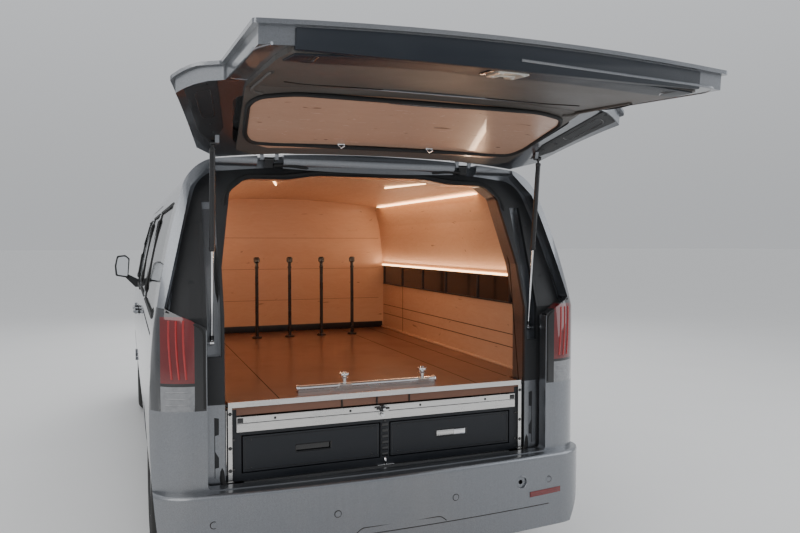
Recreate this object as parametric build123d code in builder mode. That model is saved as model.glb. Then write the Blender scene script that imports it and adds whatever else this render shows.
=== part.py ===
"""Hearse on a mid-size van body, parked with its tailgate raised.

X runs to the vehicle's right, Y forwards and Z up, in millimetres. The origin is on the
ground, on the centre line, under the middle of the parked length.
"""

import os
from math import cos, hypot, radians, sin

from build123d import *

# Overall sizes and places of the axles
FRONT_END = 3050
REAR_END = -2090
HEIGHT = 1908
FRONT_AXLE = 2155
REAR_AXLE = -1045
TRACK_HALF = 830

# Cross-section of the body: half widths and the heights where they lie
SILL_BOTTOM = 235
SILL_HALF = 870
SILL_EDGE = (930, 330)
BELLY = (962, 720)
BELT_LINE = (944, 1180)
GLASS_MIDDLE = (893, 1480)
ROOF_RAIL = (826, 1745)
ROOF_EDGE = (705, 1868)
ROOF_MIDDLE = (352, 1898)
HALF_WIDTH = 963
PLAN_HALF = 985

# Tail: the upright face, the knee where it starts to lean and the bumper's step
TAIL_FACE = -2030
TAIL_KNEE = 1225
TAIL_LEAN = 20
TAIL_BOW = 45
TAIL_RADIUS = 190
BUMPER_LEDGE = 563
BUMPER_BOW = 60

# Nose: the face above the bumper leans back, and the windscreen and bonnet have slopes
NOSE_KNEE = 620
NOSE_LEAN = 12
NOSE_BOW = 160
NOSE_RADIUS = 350
SCREEN_BASE = 2380
SCREEN_BASE_Z = 1195
SCREEN_RAKE = 38
SCREEN_BOW = 330
SCREEN_RADIUS = 100
BONNET_SLOPE = 17
BONNET_CROWN = 1215
BONNET_QUARTER = (450, 1199)
BONNET_EDGE = (880, 1150)
BONNET_SHOULDER = (955, 1115)
BONNET_SIDE = (990, 1040)

# Rounded edges: a point on the middle of each crease, mirrored where X isn't 0, and its radius
CREASES = (
    (((360, 2941, 1033), (804, 2848, 1018), (924, 2737, 1028)), 45),
    (((357, 1441, 1898), (788, 1385, 1814)), 60),
    (((353, -1779, 1898),), 10),
    (((0, -2090, 563), (894, -2022, 563)), 16),
)
CREASE_REACH = 4

# Walls, panes and running gaps
WALL = 50
SKIN = 26
PANE_DEPTH = 6
PANE = 6
SHUT_GAP = 6
RUNNING_GAP = 0.3
REACH = 2800

# Wheels and arches
TYRE_RADIUS = 339
TYRE_WIDTH = 225
RIM_RADIUS = 216
RIM_WIDTH = 190
ARCH_RADIUS = 385
STEER_ARCH = 432
STEER_ARCH_HALF = 860
HOUSE_RADIUS = 405
HOUSE_SHEET = 8
HOUSE_INNER_FRONT = 505
HOUSE_INNER_REAR = 695
AXLE_HEIGHT = TYRE_RADIUS

# Tailgate hinge line and how far the tailgate stands open
HINGE_Y = -1730
HINGE_Z = 1880
TAILGATE_OPEN = 86
TAILGATE_DEPTH = 60
GATE_SKIN = 12
GATE_EDGE = 16
HINGE_CLEAR = 44
HINGE_FILL = 38
LINING = 15
FRAME_GAP = 8
FRAME_DEPTH = 110
COVER_DEPTH = 20

# Load space
FLOOR_TOP = 560
FLOOR_SHEET = 50
CAB_FLOOR = 490
DECK_TOP = 878
DECK_BOARD = 25
DECK_REAR = -1925
OPENING_HALF = 680
PARTITION_Y = 330
PARTITION_BOARD = 20
WALL_LINING_X = 800
LINING_BOARD = 15

# Joints between the outer panels
ROOF_END = -1763
ROOF_END_BOW = 74
ROOF_PANEL_HALF = 742
ROOF_JOINT_Z = 1790
BELT_Z = 1192
FENDER_REAR = 1718
SIDE_INNER_X = 560
SIDE_REGION = [(REAR_END, 200), (FENDER_REAR, 200), (FENDER_REAR, BELT_Z), (2400, BELT_Z),
               (2400, 1300), (1200, 2000), (REAR_END, 2000)]
SCREEN_OUTLINE = [(755, 1213), (640, 1795)]
COWL_HALF = 765
COWL_REAR = 2050
COWL_BOTTOM = 1020
HOOD_REAR = [(-700, 2270), (0, 2460), (700, 2270)]
HOOD_SIDE = (760, 2700)
HOOD_CORNER = (610, 2960)
HOOD_EDGE_Z = 965
HOOD_HINGE_X = 650
HOOD_HINGE_Y = 2258
HOOD_HINGE_Z = 1194
HOOD_KNUCKLE = 6
HOOD_KNUCKLE_HALF = 8
HOOD_PIN = 3
HOOD_EAR_GAP = 3
HOOD_EAR = 9
HOOD_NOTCH = 26
HOOD_ARM = [(2252, 1188), (2252, 1200), (2320, 1190), (2320, 1150), (2300, 1150)]
HOOD_BRACKET = [(2226, 1120), (2226, 1158), (2252, 1196), (2258, 1194), (2262, 1189), (2244, 1162),
                (2244, 1120)]
GRILLE_HALF = 548
GRILLE_BOTTOM = 705
GRILLE_TOP = 959
GRILLE_BORDER = 24
GRILLE_SLOTS = 4
GRILLE_PITCH = 54
GRILLE_SLOT = 36
HEADLAMP_REAR = 2600
HEADLAMP = [(554, 707), (554, 959), (640, 959), (925, 930), (990, 850), (990, 790), (900, 707)]
FRONT_BUMPER = [(2480, 200), (3150, 200), (3150, 702), (2800, 702), (2480, 590)]
AIR_INTAKE = [(420, 330), (480, 520)]
REAR_BUMPER = [(-2220, 200), (-1410, 200), (-1410, 600), (-1850, 640), (-1910, 872), (-2220, 872)]
BUMPER_TRAY = (-1400, -1985)
TOW_EYE = (590, 455)
TOW_EYE_RADIUS = 10
TOW_EYE_SEAT = 26
TOW_EYE_FACE = -2062
TAIL_LAMP = [(757, 876), (1000, 876), (1000, 1285), (905, 1268), (757, 1195)]
TAIL_LAMP_FRONT = -1830
TAILGATE_OUTLINE = [(748, 572), (748, 1190), (900, 1266), (788, 1745), (700, 1845), (690, 2000)]
DOOR_INNER_X = 620
DOOR_FRONT = 1712
DOOR_OUTLINE = [(670, 285), (DOOR_FRONT, 285), (DOOR_FRONT, 1490), (1520, 1738), (670, 1738)]
DOOR_GLASS = [(740, BELT_Z), (1655, BELT_Z), (1655, 1470), (1490, 1680), (740, 1680)]
QUARTER_GLASS = [(1765, 1225), (2020, 1225), (1765, 1440)]
SLIDING_DOOR = [(-420, 285), (650, 285), (650, 1738), (-420, 1738)]
SLIDING_WINDOW = [(-350, 1205), (590, 1205), (590, 1690), (-350, 1690)]
DOOR_RAIL = (-1640, -400, 1128, 1142)
DOOR_RAIL_DEPTH = 10
REAR_WINDOW = [(-1680, 1205), (-480, 1205), (-480, 1690), (-1600, 1690)]
HINGE_X = 460
HINGE_NOTCH = 56
HINGE_NOTCH_DEPTH = 30

# Front door hinges, on the joint between the door and the fender
DOOR_HINGE_X = 964.5
DOOR_HINGE_Y = 1715
DOOR_HINGE_ZS = (560, 960)
DOOR_KNUCKLE = 5
DOOR_PIN = 2.5
DOOR_KNUCKLE_HEIGHT = 30
MIRROR_HEAD = [(1020, 1228), (1118, 1246), (1124, 1330), (1106, 1412), (1040, 1420), (1006, 1390)]

# Tailgate hinge knuckles and gas struts
KNUCKLE = 8
PIN = 4
KNUCKLE_HALF = 20
EAR_GAP = 5
EAR_WIDTH = 14
STRUT_X = 724
STRUT_TOP = (-1979, 1904)
STRUT_FOOT = (-1895, 1122)
STRUT_EYE = 10
STRUT_EYE_HALF = 8
CYLINDER = 11
CYLINDER_BORE = 5.3
CYLINDER_LENGTH = 400
ROD = 5
ROD_INSIDE = 45
STRUT_POCKET = [(-2000, 1070), (-1870, 1070), (-1846, 1225), (-1742, 1660), (-1742, 1690), (-2000, 1690)]
STRUT_POCKET_X = (692, 746)
BACKLIGHT = [(560, 1300), (690, 1330), (640, 1690), (560, 1720)]
WOOD_PANEL = [(480, 1262), (612, 1290), (590, 1660), (500, 1712)]
GATE_LINING = [(652, 600), (664, 720), (660, 1262), (622, 1730), (556, 1772)]
PANEL_SLOT = (180, 26, 1500)
OPENING = [(640, 505), (OPENING_HALF, 545), (OPENING_HALF, 1420), (632, 1735), (560, 1793),
           (380, 1793), (250, 1815)]
LAMP_TOP_Z = 880
GATE_EAR = [(-1780, 1850), (HINGE_Y, HINGE_Z - KNUCKLE), (HINGE_Y, HINGE_Z + KNUCKLE), (-1780, 1872)]
STRUT_LUG = [(-1800, 1620), (-1771, 1624), (-1763, 1633), (-1771, 1642), (-1800, 1646)]
STRUT_LUG_SHIFT = -16.3

# Wheels, axles and the machinery under the bonnet
STEER_LOW = (745, 200)
STEER_TOP = (649, 739)
HUB_FACE = 880
SPINDLE = 22
SPINDLE_END = 868
DISC_RADIUS = 150
DISC_X = (800, 824)
HAT_RADIUS = 80
RIM_WALL = 9
RIM_LIP = 6
HUB_DISH = (8, 26)
SPOKE_FOOT = 14
SPOKE_GAP = [(0, -18), (0, 18), (1, 72), (2, 0), (1, -72)]
SPOKE_TIPS = (36, 24)
SPOKES = 5
BEAD_INSET = 22
BEAD_HEIGHT = 45
SHOULDER = (24, 6)
TREAD_INSET = 60
ENGINE_Y = (2320, 2800)
ENGINE = (-330, 330, *ENGINE_Y, 340, 930)
ENGINE_MOUNT = (2500, 2600, 40)
RAIL_X = (400, 470)
RAIL_Z = (370, 440)
RAIL_Y = (1700, 2860)
RAIL_TIE = (25, 690)
PLATE_HALF = (480, 95)
PLATE_Z = (200, 260)
TOWER_HALF = 75
LOWER_ARM = [(470, 80), (770, 30)]
LOWER_ARM_Z = (170, 195.5)
ARM_BRACKET = (440, 480, 210)
KNUCKLE_COLUMN = 24
KNUCKLE_BLOCK = (738, 790, 45, 60)
KNUCKLE_ARM = (650, 780, 20, 110)
SPINDLE_START = 760
AXLE_TUBE = 38
AXLE_TUBE_HALF = 745
AXLE_ARM = [(REAR_AXLE - 40, 330), (REAR_AXLE + 40, 300), (-440, 430), (-400, 510), (-520, 510),
            (-540, 440), (REAR_AXLE, 380)]
AXLE_ARM_X = 520
AXLE_ARM_HALF = 35
DIFFERENTIAL = 100
DIFFERENTIAL_HALF = 95
SHAFT = 30
SHAFT_Z = (345, 398)

# Exhaust under the floor: its X, then its runs and the silencer in Y and Z
EXHAUST_X = 250
EXHAUST = 28
EXHAUST_FRONT = [(ENGINE_Y[0], 395), (200, 395)]
EXHAUST_REAR = [(-400, 430), (-700, 452), (-1300, 452), (-1560, 330), (-1780, 330), (-1835, 300)]
SILENCER = 85
SILENCER_RUN = [(200, 412), (-400, 412)]
HANGER_YS = (100, -300, -1700)
HANGER = 14

# Cab
FIREWALL_Y = 2225
DASH = [(1640, 860), (1640, 1010), (1760, 1085), (1980, 1165), (FIREWALL_Y, 1165),
        (FIREWALL_Y, 1000), (1980, 900), (1760, 840)]
DASH_HALF = 848
COLUMN_TOP = (1500, 1075)
COLUMN_FOOT = (1700, 985)
COLUMN_RADIUS = 32
WHEEL_RIM = 190
WHEEL_TUBE = 15
DRIVER_X = -430
SEAT_XS = (-430, 430)
SEAT_HALF = 255
CUSHION = [(860, 700), (1390, 720), (1400, 820), (1360, 860), (860, 830)]
BACKREST = [(875, 800), (935, 840), (860, 1430), (785, 1430), (745, 1400), (790, 820)]
HEADREST = [(780, 1445), (850, 1445), (835, 1610), (775, 1610)]
SEAT_BASE = [(880, CAB_FLOOR), (1340, CAB_FLOOR), (1330, 730), (900, 715)]

# Drawers, tray and the case that carries them, under the deck
CASE_HALF = 676
CASE_SIDE = 62
CASE_FRONT = -1150
CASE_POST = 20
CASE_FLOOR = (560, 590)
SHELF = (745, 757)
DRAWER_X = (26, 608)
DRAWER_Z = (595, 740)
DRAWER_FRONT = 20
DRAWER_WALL = 12
DRAWER_LENGTH = 720
GRIP = (317, 75, 655, 685)
RUNNER = 20
TRAY_HALF = 600
TRAY_FRONT_HALF = 634
TRAY_Z = (780, 812)
TRAY_FRONT_Z = (762, 823)
TRAY_LENGTH = 1800
CASE_REAR = -1917
TRAY_REAR = -1932
EDGE_BAR_HALF = 667
EDGE_BAR_Z = (862, 884)
EDGE_BAR = 8
UPRIGHT_X = (652, 668)
CLAMP_BAR = (-360, 277, -1826, -1796, 12)
CLAMP_XS = (-150, 219)
POST_XS = (-218, 5, 228, 450)
POST_Y = 10
POST_RADIUS = 11
POST_FOOT = 32
POST_TOP = 1424
POST_KNOB = 21

# Floor and firewall profile
FLOOR_PROFILE = [(-1960, FLOOR_TOP - FLOOR_SHEET), (-1960, FLOOR_TOP), (600, FLOOR_TOP), (640, CAB_FLOOR),
                 (1960, CAB_FLOOR), (2160, 700), (FIREWALL_Y, 760), (FIREWALL_Y, 1260),
                 (2245, 1260), (2245, 740),
                 (2190, 680), (1990, CAB_FLOOR - FLOOR_SHEET), (600, CAB_FLOOR - FLOOR_SHEET),
                 (560, FLOOR_TOP - FLOOR_SHEET)]
MIRROR_Y = (1560, 1640)
MIRROR_ARM = [(890, 1150), (890, 1188), (1030, 1262), (1050, 1240), (965, 1150)]
MIRROR_ARM_Y = (1580, 1625)
MIRROR_ROUND = (5, 14)
LINING_PROFILE = [(WALL_LINING_X, DECK_TOP - DECK_BOARD), (WALL_LINING_X, 1352), (768, 1640),
                  (729, 1788), (743, 1794), (783, 1642), (WALL_LINING_X + LINING_BOARD, 1352),
                  (WALL_LINING_X + LINING_BOARD, DECK_TOP - DECK_BOARD)]
CEILING_HALF = 729
CEILING_SIDE_Z = 1788
CEILING_Z = 1836
CEILING_BOARD = 8
FRAME_FRONT = -1815
SILL_PROFILE = [(-1948, 505), (-1948, 530), (-1930, 559), (-1856, 559), (-1856, 505)]
SILL_COVER_HALF = 606
HINGE_FOOT = [(-1736, 1880), (-1724, 1880), (-1700, 1850), (-1700, 1835), (-1734, 1835)]


def outline(points, corner=0, grow=0):
    """Closed outline with rounded corners, then pushed out by grow."""
    with BuildSketch() as sketch:
        with BuildLine():
            Polyline(*points, close=True)
        make_face()
        if corner:
            fillet(sketch.vertices(), corner)
        if grow:
            offset(amount=grow)
    return sketch.sketch


def prism_x(points, x0, x1, corner=0, grow=0):
    """Outline in Y and Z, extruded across from x0 to x1."""
    with BuildPart() as block:
        with BuildSketch(Plane.YZ.offset(x0)):
            add(outline(points, corner, grow))
        extrude(amount=x1 - x0)
    return block.part


def prism_y(points, y0, y1, corner=0, grow=0):
    """Outline in X and Z, extruded along from y0 to y1."""
    with BuildPart() as block:
        with BuildSketch(Plane.XZ.offset(-y1)):
            add(outline(points, corner, grow))
        extrude(amount=y1 - y0)
    return block.part


def prism_z(points, z0, z1, corner=0, grow=0):
    """Plan outline in X and Y, extruded up from z0 to z1."""
    with BuildPart() as block:
        with BuildSketch(Plane.XY.offset(z0)):
            add(outline(points, corner, grow))
        extrude(amount=z1 - z0)
    return block.part


def mirrored(points):
    """Whole outline from the points of its right half, bottom to top."""
    return points + [(-x, z) for x, z in reversed(points)]


def box(x0, x1, y0, y1, z0, z1):
    """Box between two opposite corners."""
    return prism_z([(x0, y0), (x1, y0), (x1, y1), (x0, y1)], z0, z1)


def rod_x(radius, x0, x1, y, z):
    """Round bar along X."""
    with BuildPart() as bar:
        with BuildSketch(Plane.YZ.offset(x0)):
            with Locations((y, z)):
                Circle(radius)
        extrude(amount=x1 - x0)
    return bar.part


def rod_z(radius, z0, z1, x, y):
    """Round bar along Z."""
    with BuildPart() as bar:
        with BuildSketch(Plane.XY.offset(z0)):
            with Locations((x, y)):
                Circle(radius)
        extrude(amount=z1 - z0)
    return bar.part


def save(piece, label):
    """Label a finished piece and write it under the same name."""
    piece.part.label = label
    export_step(piece.part, f"parts/{label}.step")


def cross_section(inset):
    """Section of the body across X and Z, pulled in by inset."""
    with BuildSketch() as section:
        with BuildLine():
            Line((0, SILL_BOTTOM), (SILL_HALF, SILL_BOTTOM))
            Line((SILL_HALF, SILL_BOTTOM), SILL_EDGE)
            ThreePointArc(SILL_EDGE, BELLY, BELT_LINE)
            side = ThreePointArc(BELT_LINE, GLASS_MIDDLE, ROOF_RAIL)
            TangentArc(ROOF_RAIL, ROOF_EDGE, tangent=side % 1)
            ThreePointArc(ROOF_EDGE, ROOF_MIDDLE, (0, HEIGHT))
            mirror(about=Plane.YZ)
        make_face()
        if inset:
            offset(amount=-inset, kind=Kind.INTERSECTION)
    return section.sketch


def plan_outline(rear, front, inset):
    """Plan outline with a bowed tail and a bowed nose.

    rear and front are each the end's Y, how far its sides lie back, and its corner radius.
    """
    rear_y, rear_bow, rear_radius = rear
    front_y, front_bow, front_radius = front
    side = PLAN_HALF - inset
    with BuildSketch() as outline:
        with BuildLine():
            ThreePointArc((-side, rear_y + rear_bow), (0, rear_y), (side, rear_y + rear_bow))
            Line((side, rear_y + rear_bow), (side, front_y - front_bow))
            ThreePointArc((side, front_y - front_bow), (0, front_y), (-side, front_y - front_bow))
            Line((-side, front_y - front_bow), (-side, rear_y + rear_bow))
        make_face()
        fillet(outline.vertices().group_by(Axis.Y)[0], rear_radius - inset)
        fillet(outline.vertices().group_by(Axis.Y)[-1], front_radius - inset)
    return outline.sketch


def swept(outline, z, direction):
    """Solid that a plan outline at height z leaves along a slope, both ways."""
    with BuildPart() as solid:
        with BuildSketch(Plane.XY.offset(z)):
            add(outline)
        extrude(amount=REACH, dir=direction, both=True)
    return solid.part


def bonnet_sweep(inset):
    """Solid under the bonnet's surface, running on backwards under the windscreen."""
    slope = radians(BONNET_SLOPE)
    drop = inset / cos(slope)
    with BuildPart() as solid:
        with BuildSketch(Plane.XZ.offset(-SCREEN_BASE)):
            with BuildLine():
                Line((0, -REACH), (BONNET_SIDE[0], -REACH))
                Line((BONNET_SIDE[0], -REACH), (BONNET_SIDE[0], BONNET_SIDE[1] - drop))
                ThreePointArc(
                    (BONNET_SIDE[0], BONNET_SIDE[1] - drop),
                    (BONNET_SHOULDER[0], BONNET_SHOULDER[1] - drop),
                    (BONNET_EDGE[0], BONNET_EDGE[1] - drop),
                )
                ThreePointArc(
                    (BONNET_EDGE[0], BONNET_EDGE[1] - drop),
                    (BONNET_QUARTER[0], BONNET_QUARTER[1] - drop),
                    (0, BONNET_CROWN - drop),
                )
                mirror(about=Plane.YZ)
            make_face()
        extrude(amount=REACH, dir=(0, cos(slope), -sin(slope)), both=True)
    return solid.part


def form(inset):
    """The closed body, with every face moved in by inset."""
    rake = radians(SCREEN_RAKE)
    nose = radians(NOSE_LEAN)
    tail = radians(TAIL_LEAN)
    far = -3 * REACH
    ahead = 3 * REACH
    bumper_rear = (REAR_END + inset, BUMPER_BOW, TAIL_RADIUS)
    bumper_front = (FRONT_END - inset, NOSE_BOW, NOSE_RADIUS)
    screen_front = (SCREEN_BASE - inset / sin(rake), SCREEN_BOW, SCREEN_RADIUS)
    with BuildPart() as greenhouse:
        add(swept(plan_outline((far, TAIL_BOW, TAIL_RADIUS), screen_front, inset), SCREEN_BASE_Z,
                  (0, -cos(rake), sin(rake))))
        add(bonnet_sweep(inset))
    with BuildPart() as body:
        with BuildSketch(Plane.XZ.offset(-FRONT_END)):
            add(cross_section(inset))
        extrude(amount=FRONT_END - REAR_END)
        add(swept(plan_outline(bumper_rear, bumper_front, inset), 0, (0, 0, 1)),
            mode=Mode.INTERSECT)
        nose_front = (FRONT_END - inset / cos(nose), NOSE_BOW, NOSE_RADIUS)
        add(swept(plan_outline((far, TAIL_BOW, TAIL_RADIUS), nose_front, inset), NOSE_KNEE,
                  (0, -sin(nose), cos(nose))), mode=Mode.INTERSECT)
        tail_rear = (TAIL_FACE + inset / cos(tail), TAIL_BOW, TAIL_RADIUS)
        add(swept(plan_outline(tail_rear, (ahead, NOSE_BOW, NOSE_RADIUS), inset), TAIL_KNEE,
                  (0, sin(tail), cos(tail))), mode=Mode.INTERSECT)
        add(greenhouse.part, mode=Mode.INTERSECT)
        add(step_cut(inset), mode=Mode.SUBTRACT)
    return body.part


def rounded(body):
    """The body with its outer creases rounded."""
    for spots, radius in CREASES:
        chosen = []
        for x, y, z in spots:
            for side in (-1, 1) if x else (1,):
                middle = Vector(side * x, y, z)
                chosen += [e for e in body.edges() if (e @ 0.5 - middle).length < CREASE_REACH]
        body = body.fillet(radius, chosen)
    return body


def step_cut(inset):
    """What is cut away above the rear bumper's step, behind the upright tail face."""
    face = (TAIL_FACE + inset, TAIL_BOW, TAIL_RADIUS)
    with BuildPart() as cut:
        add(box(-HALF_WIDTH - WALL, HALF_WIDTH + WALL, REAR_END - WALL,
                TAIL_FACE + 2 * TAIL_RADIUS, BUMPER_LEDGE - inset, TAIL_KNEE + WALL))
        add(swept(plan_outline(face, (FRONT_END, NOSE_BOW, NOSE_RADIUS), inset), 0, (0, 0, 1)),
            mode=Mode.SUBTRACT)
    return cut.part


def ahead_of_tail(depth):
    """Everything ahead of the tail's two faces, moved forwards by depth."""
    tail = radians(TAIL_LEAN)
    face = plan_outline((TAIL_FACE + depth, TAIL_BOW, TAIL_RADIUS),
                        (2 * REACH, NOSE_BOW, NOSE_RADIUS), 0)
    with BuildPart() as solid:
        add(swept(face, TAIL_KNEE, (0, sin(tail), cos(tail))))
        add(swept(face, 0, (0, 0, 1)), mode=Mode.INTERSECT)
    return solid.part


def behind_roof_edge(shift):
    """Everything behind the curved joint between the roof and the tailgate."""
    side = PLAN_HALF
    with BuildPart() as solid:
        with BuildSketch():
            with BuildLine():
                ThreePointArc((-side, ROOF_END + ROOF_END_BOW + shift), (0, ROOF_END + shift),
                              (side, ROOF_END + ROOF_END_BOW + shift))
                Line((side, ROOF_END + ROOF_END_BOW + shift), (side, REAR_END - WALL))
                Line((side, REAR_END - WALL), (-side, REAR_END - WALL))
                Line((-side, REAR_END - WALL), (-side, ROOF_END + ROOF_END_BOW + shift))
            make_face()
        extrude(amount=HEIGHT + WALL)
    return solid.part


def frame_slab(depth0, depth1):
    """Layer of the body behind the tail face, between two depths, inside the walls."""
    with BuildPart() as slab:
        add(INNER)
        add(AHEAD[depth0], mode=Mode.INTERSECT)
        add(AHEAD[depth1], mode=Mode.SUBTRACT)
    return slab.part


def arch(axle, radius, x0, x1):
    """Round wheel-arch space about an axle line."""
    return rod_x(radius, x0, x1, axle, AXLE_HEIGHT)


def hood_plan(grow):
    """Plan outline of the bonnet lid."""
    with BuildSketch() as plan:
        with BuildLine():
            ThreePointArc(HOOD_REAR[0], HOOD_REAR[1], HOOD_REAR[2])
            Line(HOOD_REAR[2], HOOD_SIDE)
            Line(HOOD_SIDE, HOOD_CORNER)
            Line(HOOD_CORNER, (HOOD_CORNER[0], FRONT_END + WALL))
            Line((HOOD_CORNER[0], FRONT_END + WALL), (-HOOD_CORNER[0], FRONT_END + WALL))
            Line((-HOOD_CORNER[0], FRONT_END + WALL), (-HOOD_CORNER[0], HOOD_CORNER[1]))
            Line((-HOOD_CORNER[0], HOOD_CORNER[1]), (-HOOD_SIDE[0], HOOD_SIDE[1]))
            Line((-HOOD_SIDE[0], HOOD_SIDE[1]), HOOD_REAR[0])
        make_face()
        if grow:
            offset(amount=grow)
    return plan.sketch


def hood_zone(grow):
    """Space of the bonnet lid, above its lower front edge."""
    with BuildPart() as zone:
        with BuildSketch(Plane.XY.offset(HOOD_EDGE_Z - grow)):
            add(hood_plan(grow))
        extrude(amount=HEIGHT - HOOD_EDGE_Z)
    return zone.part


os.makedirs("parts", exist_ok=True)

OUTER = rounded(form(0))
INNER = form(WALL)
RECESSED = form(PANE_DEPTH + PANE)
INNER_SKIN = form(SKIN)
with BuildPart() as shell_block:
    add(OUTER)
    add(INNER, mode=Mode.SUBTRACT)
SHELL = shell_block.part
with BuildPart() as pane_block:
    add(form(PANE_DEPTH))
    add(RECESSED, mode=Mode.SUBTRACT)
PANES = pane_block.part
DEPTH_GATE = TAILGATE_DEPTH
DEPTH_LINING = TAILGATE_DEPTH + LINING
DEPTH_FRAME = TAILGATE_DEPTH + FRAME_GAP
DEPTH_COVER = DEPTH_FRAME + COVER_DEPTH
DEPTH_END = DEPTH_FRAME + FRAME_DEPTH
AHEAD = {depth: ahead_of_tail(depth)
         for depth in (GATE_SKIN, DEPTH_GATE, DEPTH_LINING, DEPTH_FRAME, DEPTH_COVER, DEPTH_END)}

# Zones that more than one panel shares
with BuildPart() as tailgate_void:
    add(prism_y(mirrored(TAILGATE_OUTLINE), REAR_END - WALL, HINGE_Y + 2 * WALL, 12, SHUT_GAP))
    add(behind_roof_edge(SHUT_GAP), mode=Mode.INTERSECT)
    add(AHEAD[DEPTH_FRAME], mode=Mode.SUBTRACT)
    add(rod_x(HINGE_FILL, -HALF_WIDTH, HALF_WIDTH, HINGE_Y, HINGE_Z), mode=Mode.SUBTRACT)
LAMP_ZONE = prism_y(TAIL_LAMP, REAR_END, TAIL_LAMP_FRONT)
BUMPER_ZONE = prism_x(REAR_BUMPER, -HALF_WIDTH - WALL, HALF_WIDTH + WALL)
ROOF_ZONE = box(-ROOF_PANEL_HALF, ROOF_PANEL_HALF, REAR_END, SCREEN_BASE, ROOF_JOINT_Z, HEIGHT + WALL)
SCREEN_ZONE = prism_y(mirrored(SCREEN_OUTLINE), FRONT_AXLE - 1000, FRONT_END - 200, 30)
COWL_ZONE = box(-COWL_HALF, COWL_HALF, COWL_REAR, HOOD_REAR[1][1], COWL_BOTTOM, SCREEN_OUTLINE[0][1])
DOOR_ZONE = prism_x(DOOR_OUTLINE, DOOR_INNER_X, HALF_WIDTH + WALL, 40)
DOOR_VOID = prism_x(DOOR_OUTLINE, DOOR_INNER_X, HALF_WIDTH + WALL, 40, SHUT_GAP)
DOOR_WINDOW = prism_x(DOOR_GLASS, DOOR_INNER_X, HALF_WIDTH + WALL, 30)

with BuildPart() as roof_panel:
    add(SHELL)
    add(ROOF_ZONE, mode=Mode.INTERSECT)
    add(SCREEN_ZONE, mode=Mode.SUBTRACT)
    add(tailgate_void.part, mode=Mode.SUBTRACT)
    for side in (-1, 1):
        add(box(side * HINGE_X - HINGE_NOTCH, side * HINGE_X + HINGE_NOTCH,
                HINGE_Y - 2 * WALL, HINGE_Y + HINGE_NOTCH_DEPTH, ROOF_JOINT_Z, HEIGHT + WALL),
            mode=Mode.SUBTRACT)
save(roof_panel, "roof_panel")

with BuildPart() as windscreen:
    add(PANES)
    add(SCREEN_ZONE, mode=Mode.INTERSECT)
save(windscreen, "windscreen")

with BuildPart() as cowl_panel:
    add(RECESSED)
    add(INNER, mode=Mode.SUBTRACT)
    add(COWL_ZONE, mode=Mode.INTERSECT)
    with BuildSketch():
        add(hood_plan(SHUT_GAP))
    extrude(amount=HEIGHT, mode=Mode.SUBTRACT)
    for side in (-1, 1):
        add(box(side * HOOD_HINGE_X - HOOD_NOTCH, side * HOOD_HINGE_X + HOOD_NOTCH,
                HOOD_HINGE_Y - HOOD_NOTCH, HOOD_HINGE_Y + 2 * WALL, COWL_BOTTOM, HEIGHT),
            mode=Mode.SUBTRACT)
save(cowl_panel, "cowl_panel")

with BuildPart() as hood:
    add(SHELL)
    add(hood_zone(0), mode=Mode.INTERSECT)
    for side in (-1, 1):
        centre = side * HOOD_HINGE_X
        inner = HOOD_KNUCKLE_HALF + HOOD_EAR_GAP
        outer = inner + HOOD_EAR
        for x0, x1 in ((centre - outer, centre - inner), (centre + inner, centre + outer)):
            add(rod_x(HOOD_KNUCKLE, x0, x1, HOOD_HINGE_Y, HOOD_HINGE_Z))
            add(prism_x(HOOD_ARM, x0, x1))
        add(rod_x(HOOD_PIN, centre - outer, centre + outer, HOOD_HINGE_Y, HOOD_HINGE_Z))
save(hood, "hood")

with BuildPart() as front_fenders:
    add(SHELL)
    add(box(GRILLE_HALF, HALF_WIDTH + WALL, FENDER_REAR, FRONT_END, SILL_BOTTOM, BELT_Z),
        mode=Mode.INTERSECT)
    add(box(0, SILL_HALF, FENDER_REAR, FRONT_END, SILL_BOTTOM, SILL_BOTTOM + WALL),
        mode=Mode.SUBTRACT)
    add(hood_zone(SHUT_GAP), mode=Mode.SUBTRACT)
    add(COWL_ZONE, mode=Mode.SUBTRACT)
    add(prism_x(FRONT_BUMPER, 0, HALF_WIDTH + WALL), mode=Mode.SUBTRACT)
    add(prism_y(HEADLAMP, HEADLAMP_REAR, FRONT_END), mode=Mode.SUBTRACT)
    add(arch(FRONT_AXLE, ARCH_RADIUS, 0, HALF_WIDTH + WALL), mode=Mode.SUBTRACT)
    for z in DOOR_HINGE_ZS:
        low = z - DOOR_KNUCKLE_HEIGHT / 2
        high = z + DOOR_KNUCKLE_HEIGHT / 2
        reach = DOOR_KNUCKLE_HEIGHT + 2 * DOOR_PIN
        add(box(DOOR_HINGE_X - 5 * DOOR_KNUCKLE, HALF_WIDTH + WALL, FENDER_REAR,
                FENDER_REAR + DOOR_KNUCKLE, low - reach, high + reach), mode=Mode.SUBTRACT)
        add(rod_z(DOOR_KNUCKLE, low, high, DOOR_HINGE_X, DOOR_HINGE_Y))
        add(box(DOOR_HINGE_X - 4 * DOOR_KNUCKLE, DOOR_HINGE_X, DOOR_HINGE_Y,
                FENDER_REAR + 2 * DOOR_KNUCKLE, low, high))
        add(rod_z(DOOR_PIN + RUNNING_GAP, low, high, DOOR_HINGE_X, DOOR_HINGE_Y), mode=Mode.SUBTRACT)
    mirror(about=Plane.YZ)
save(front_fenders, "front_fenders")

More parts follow.
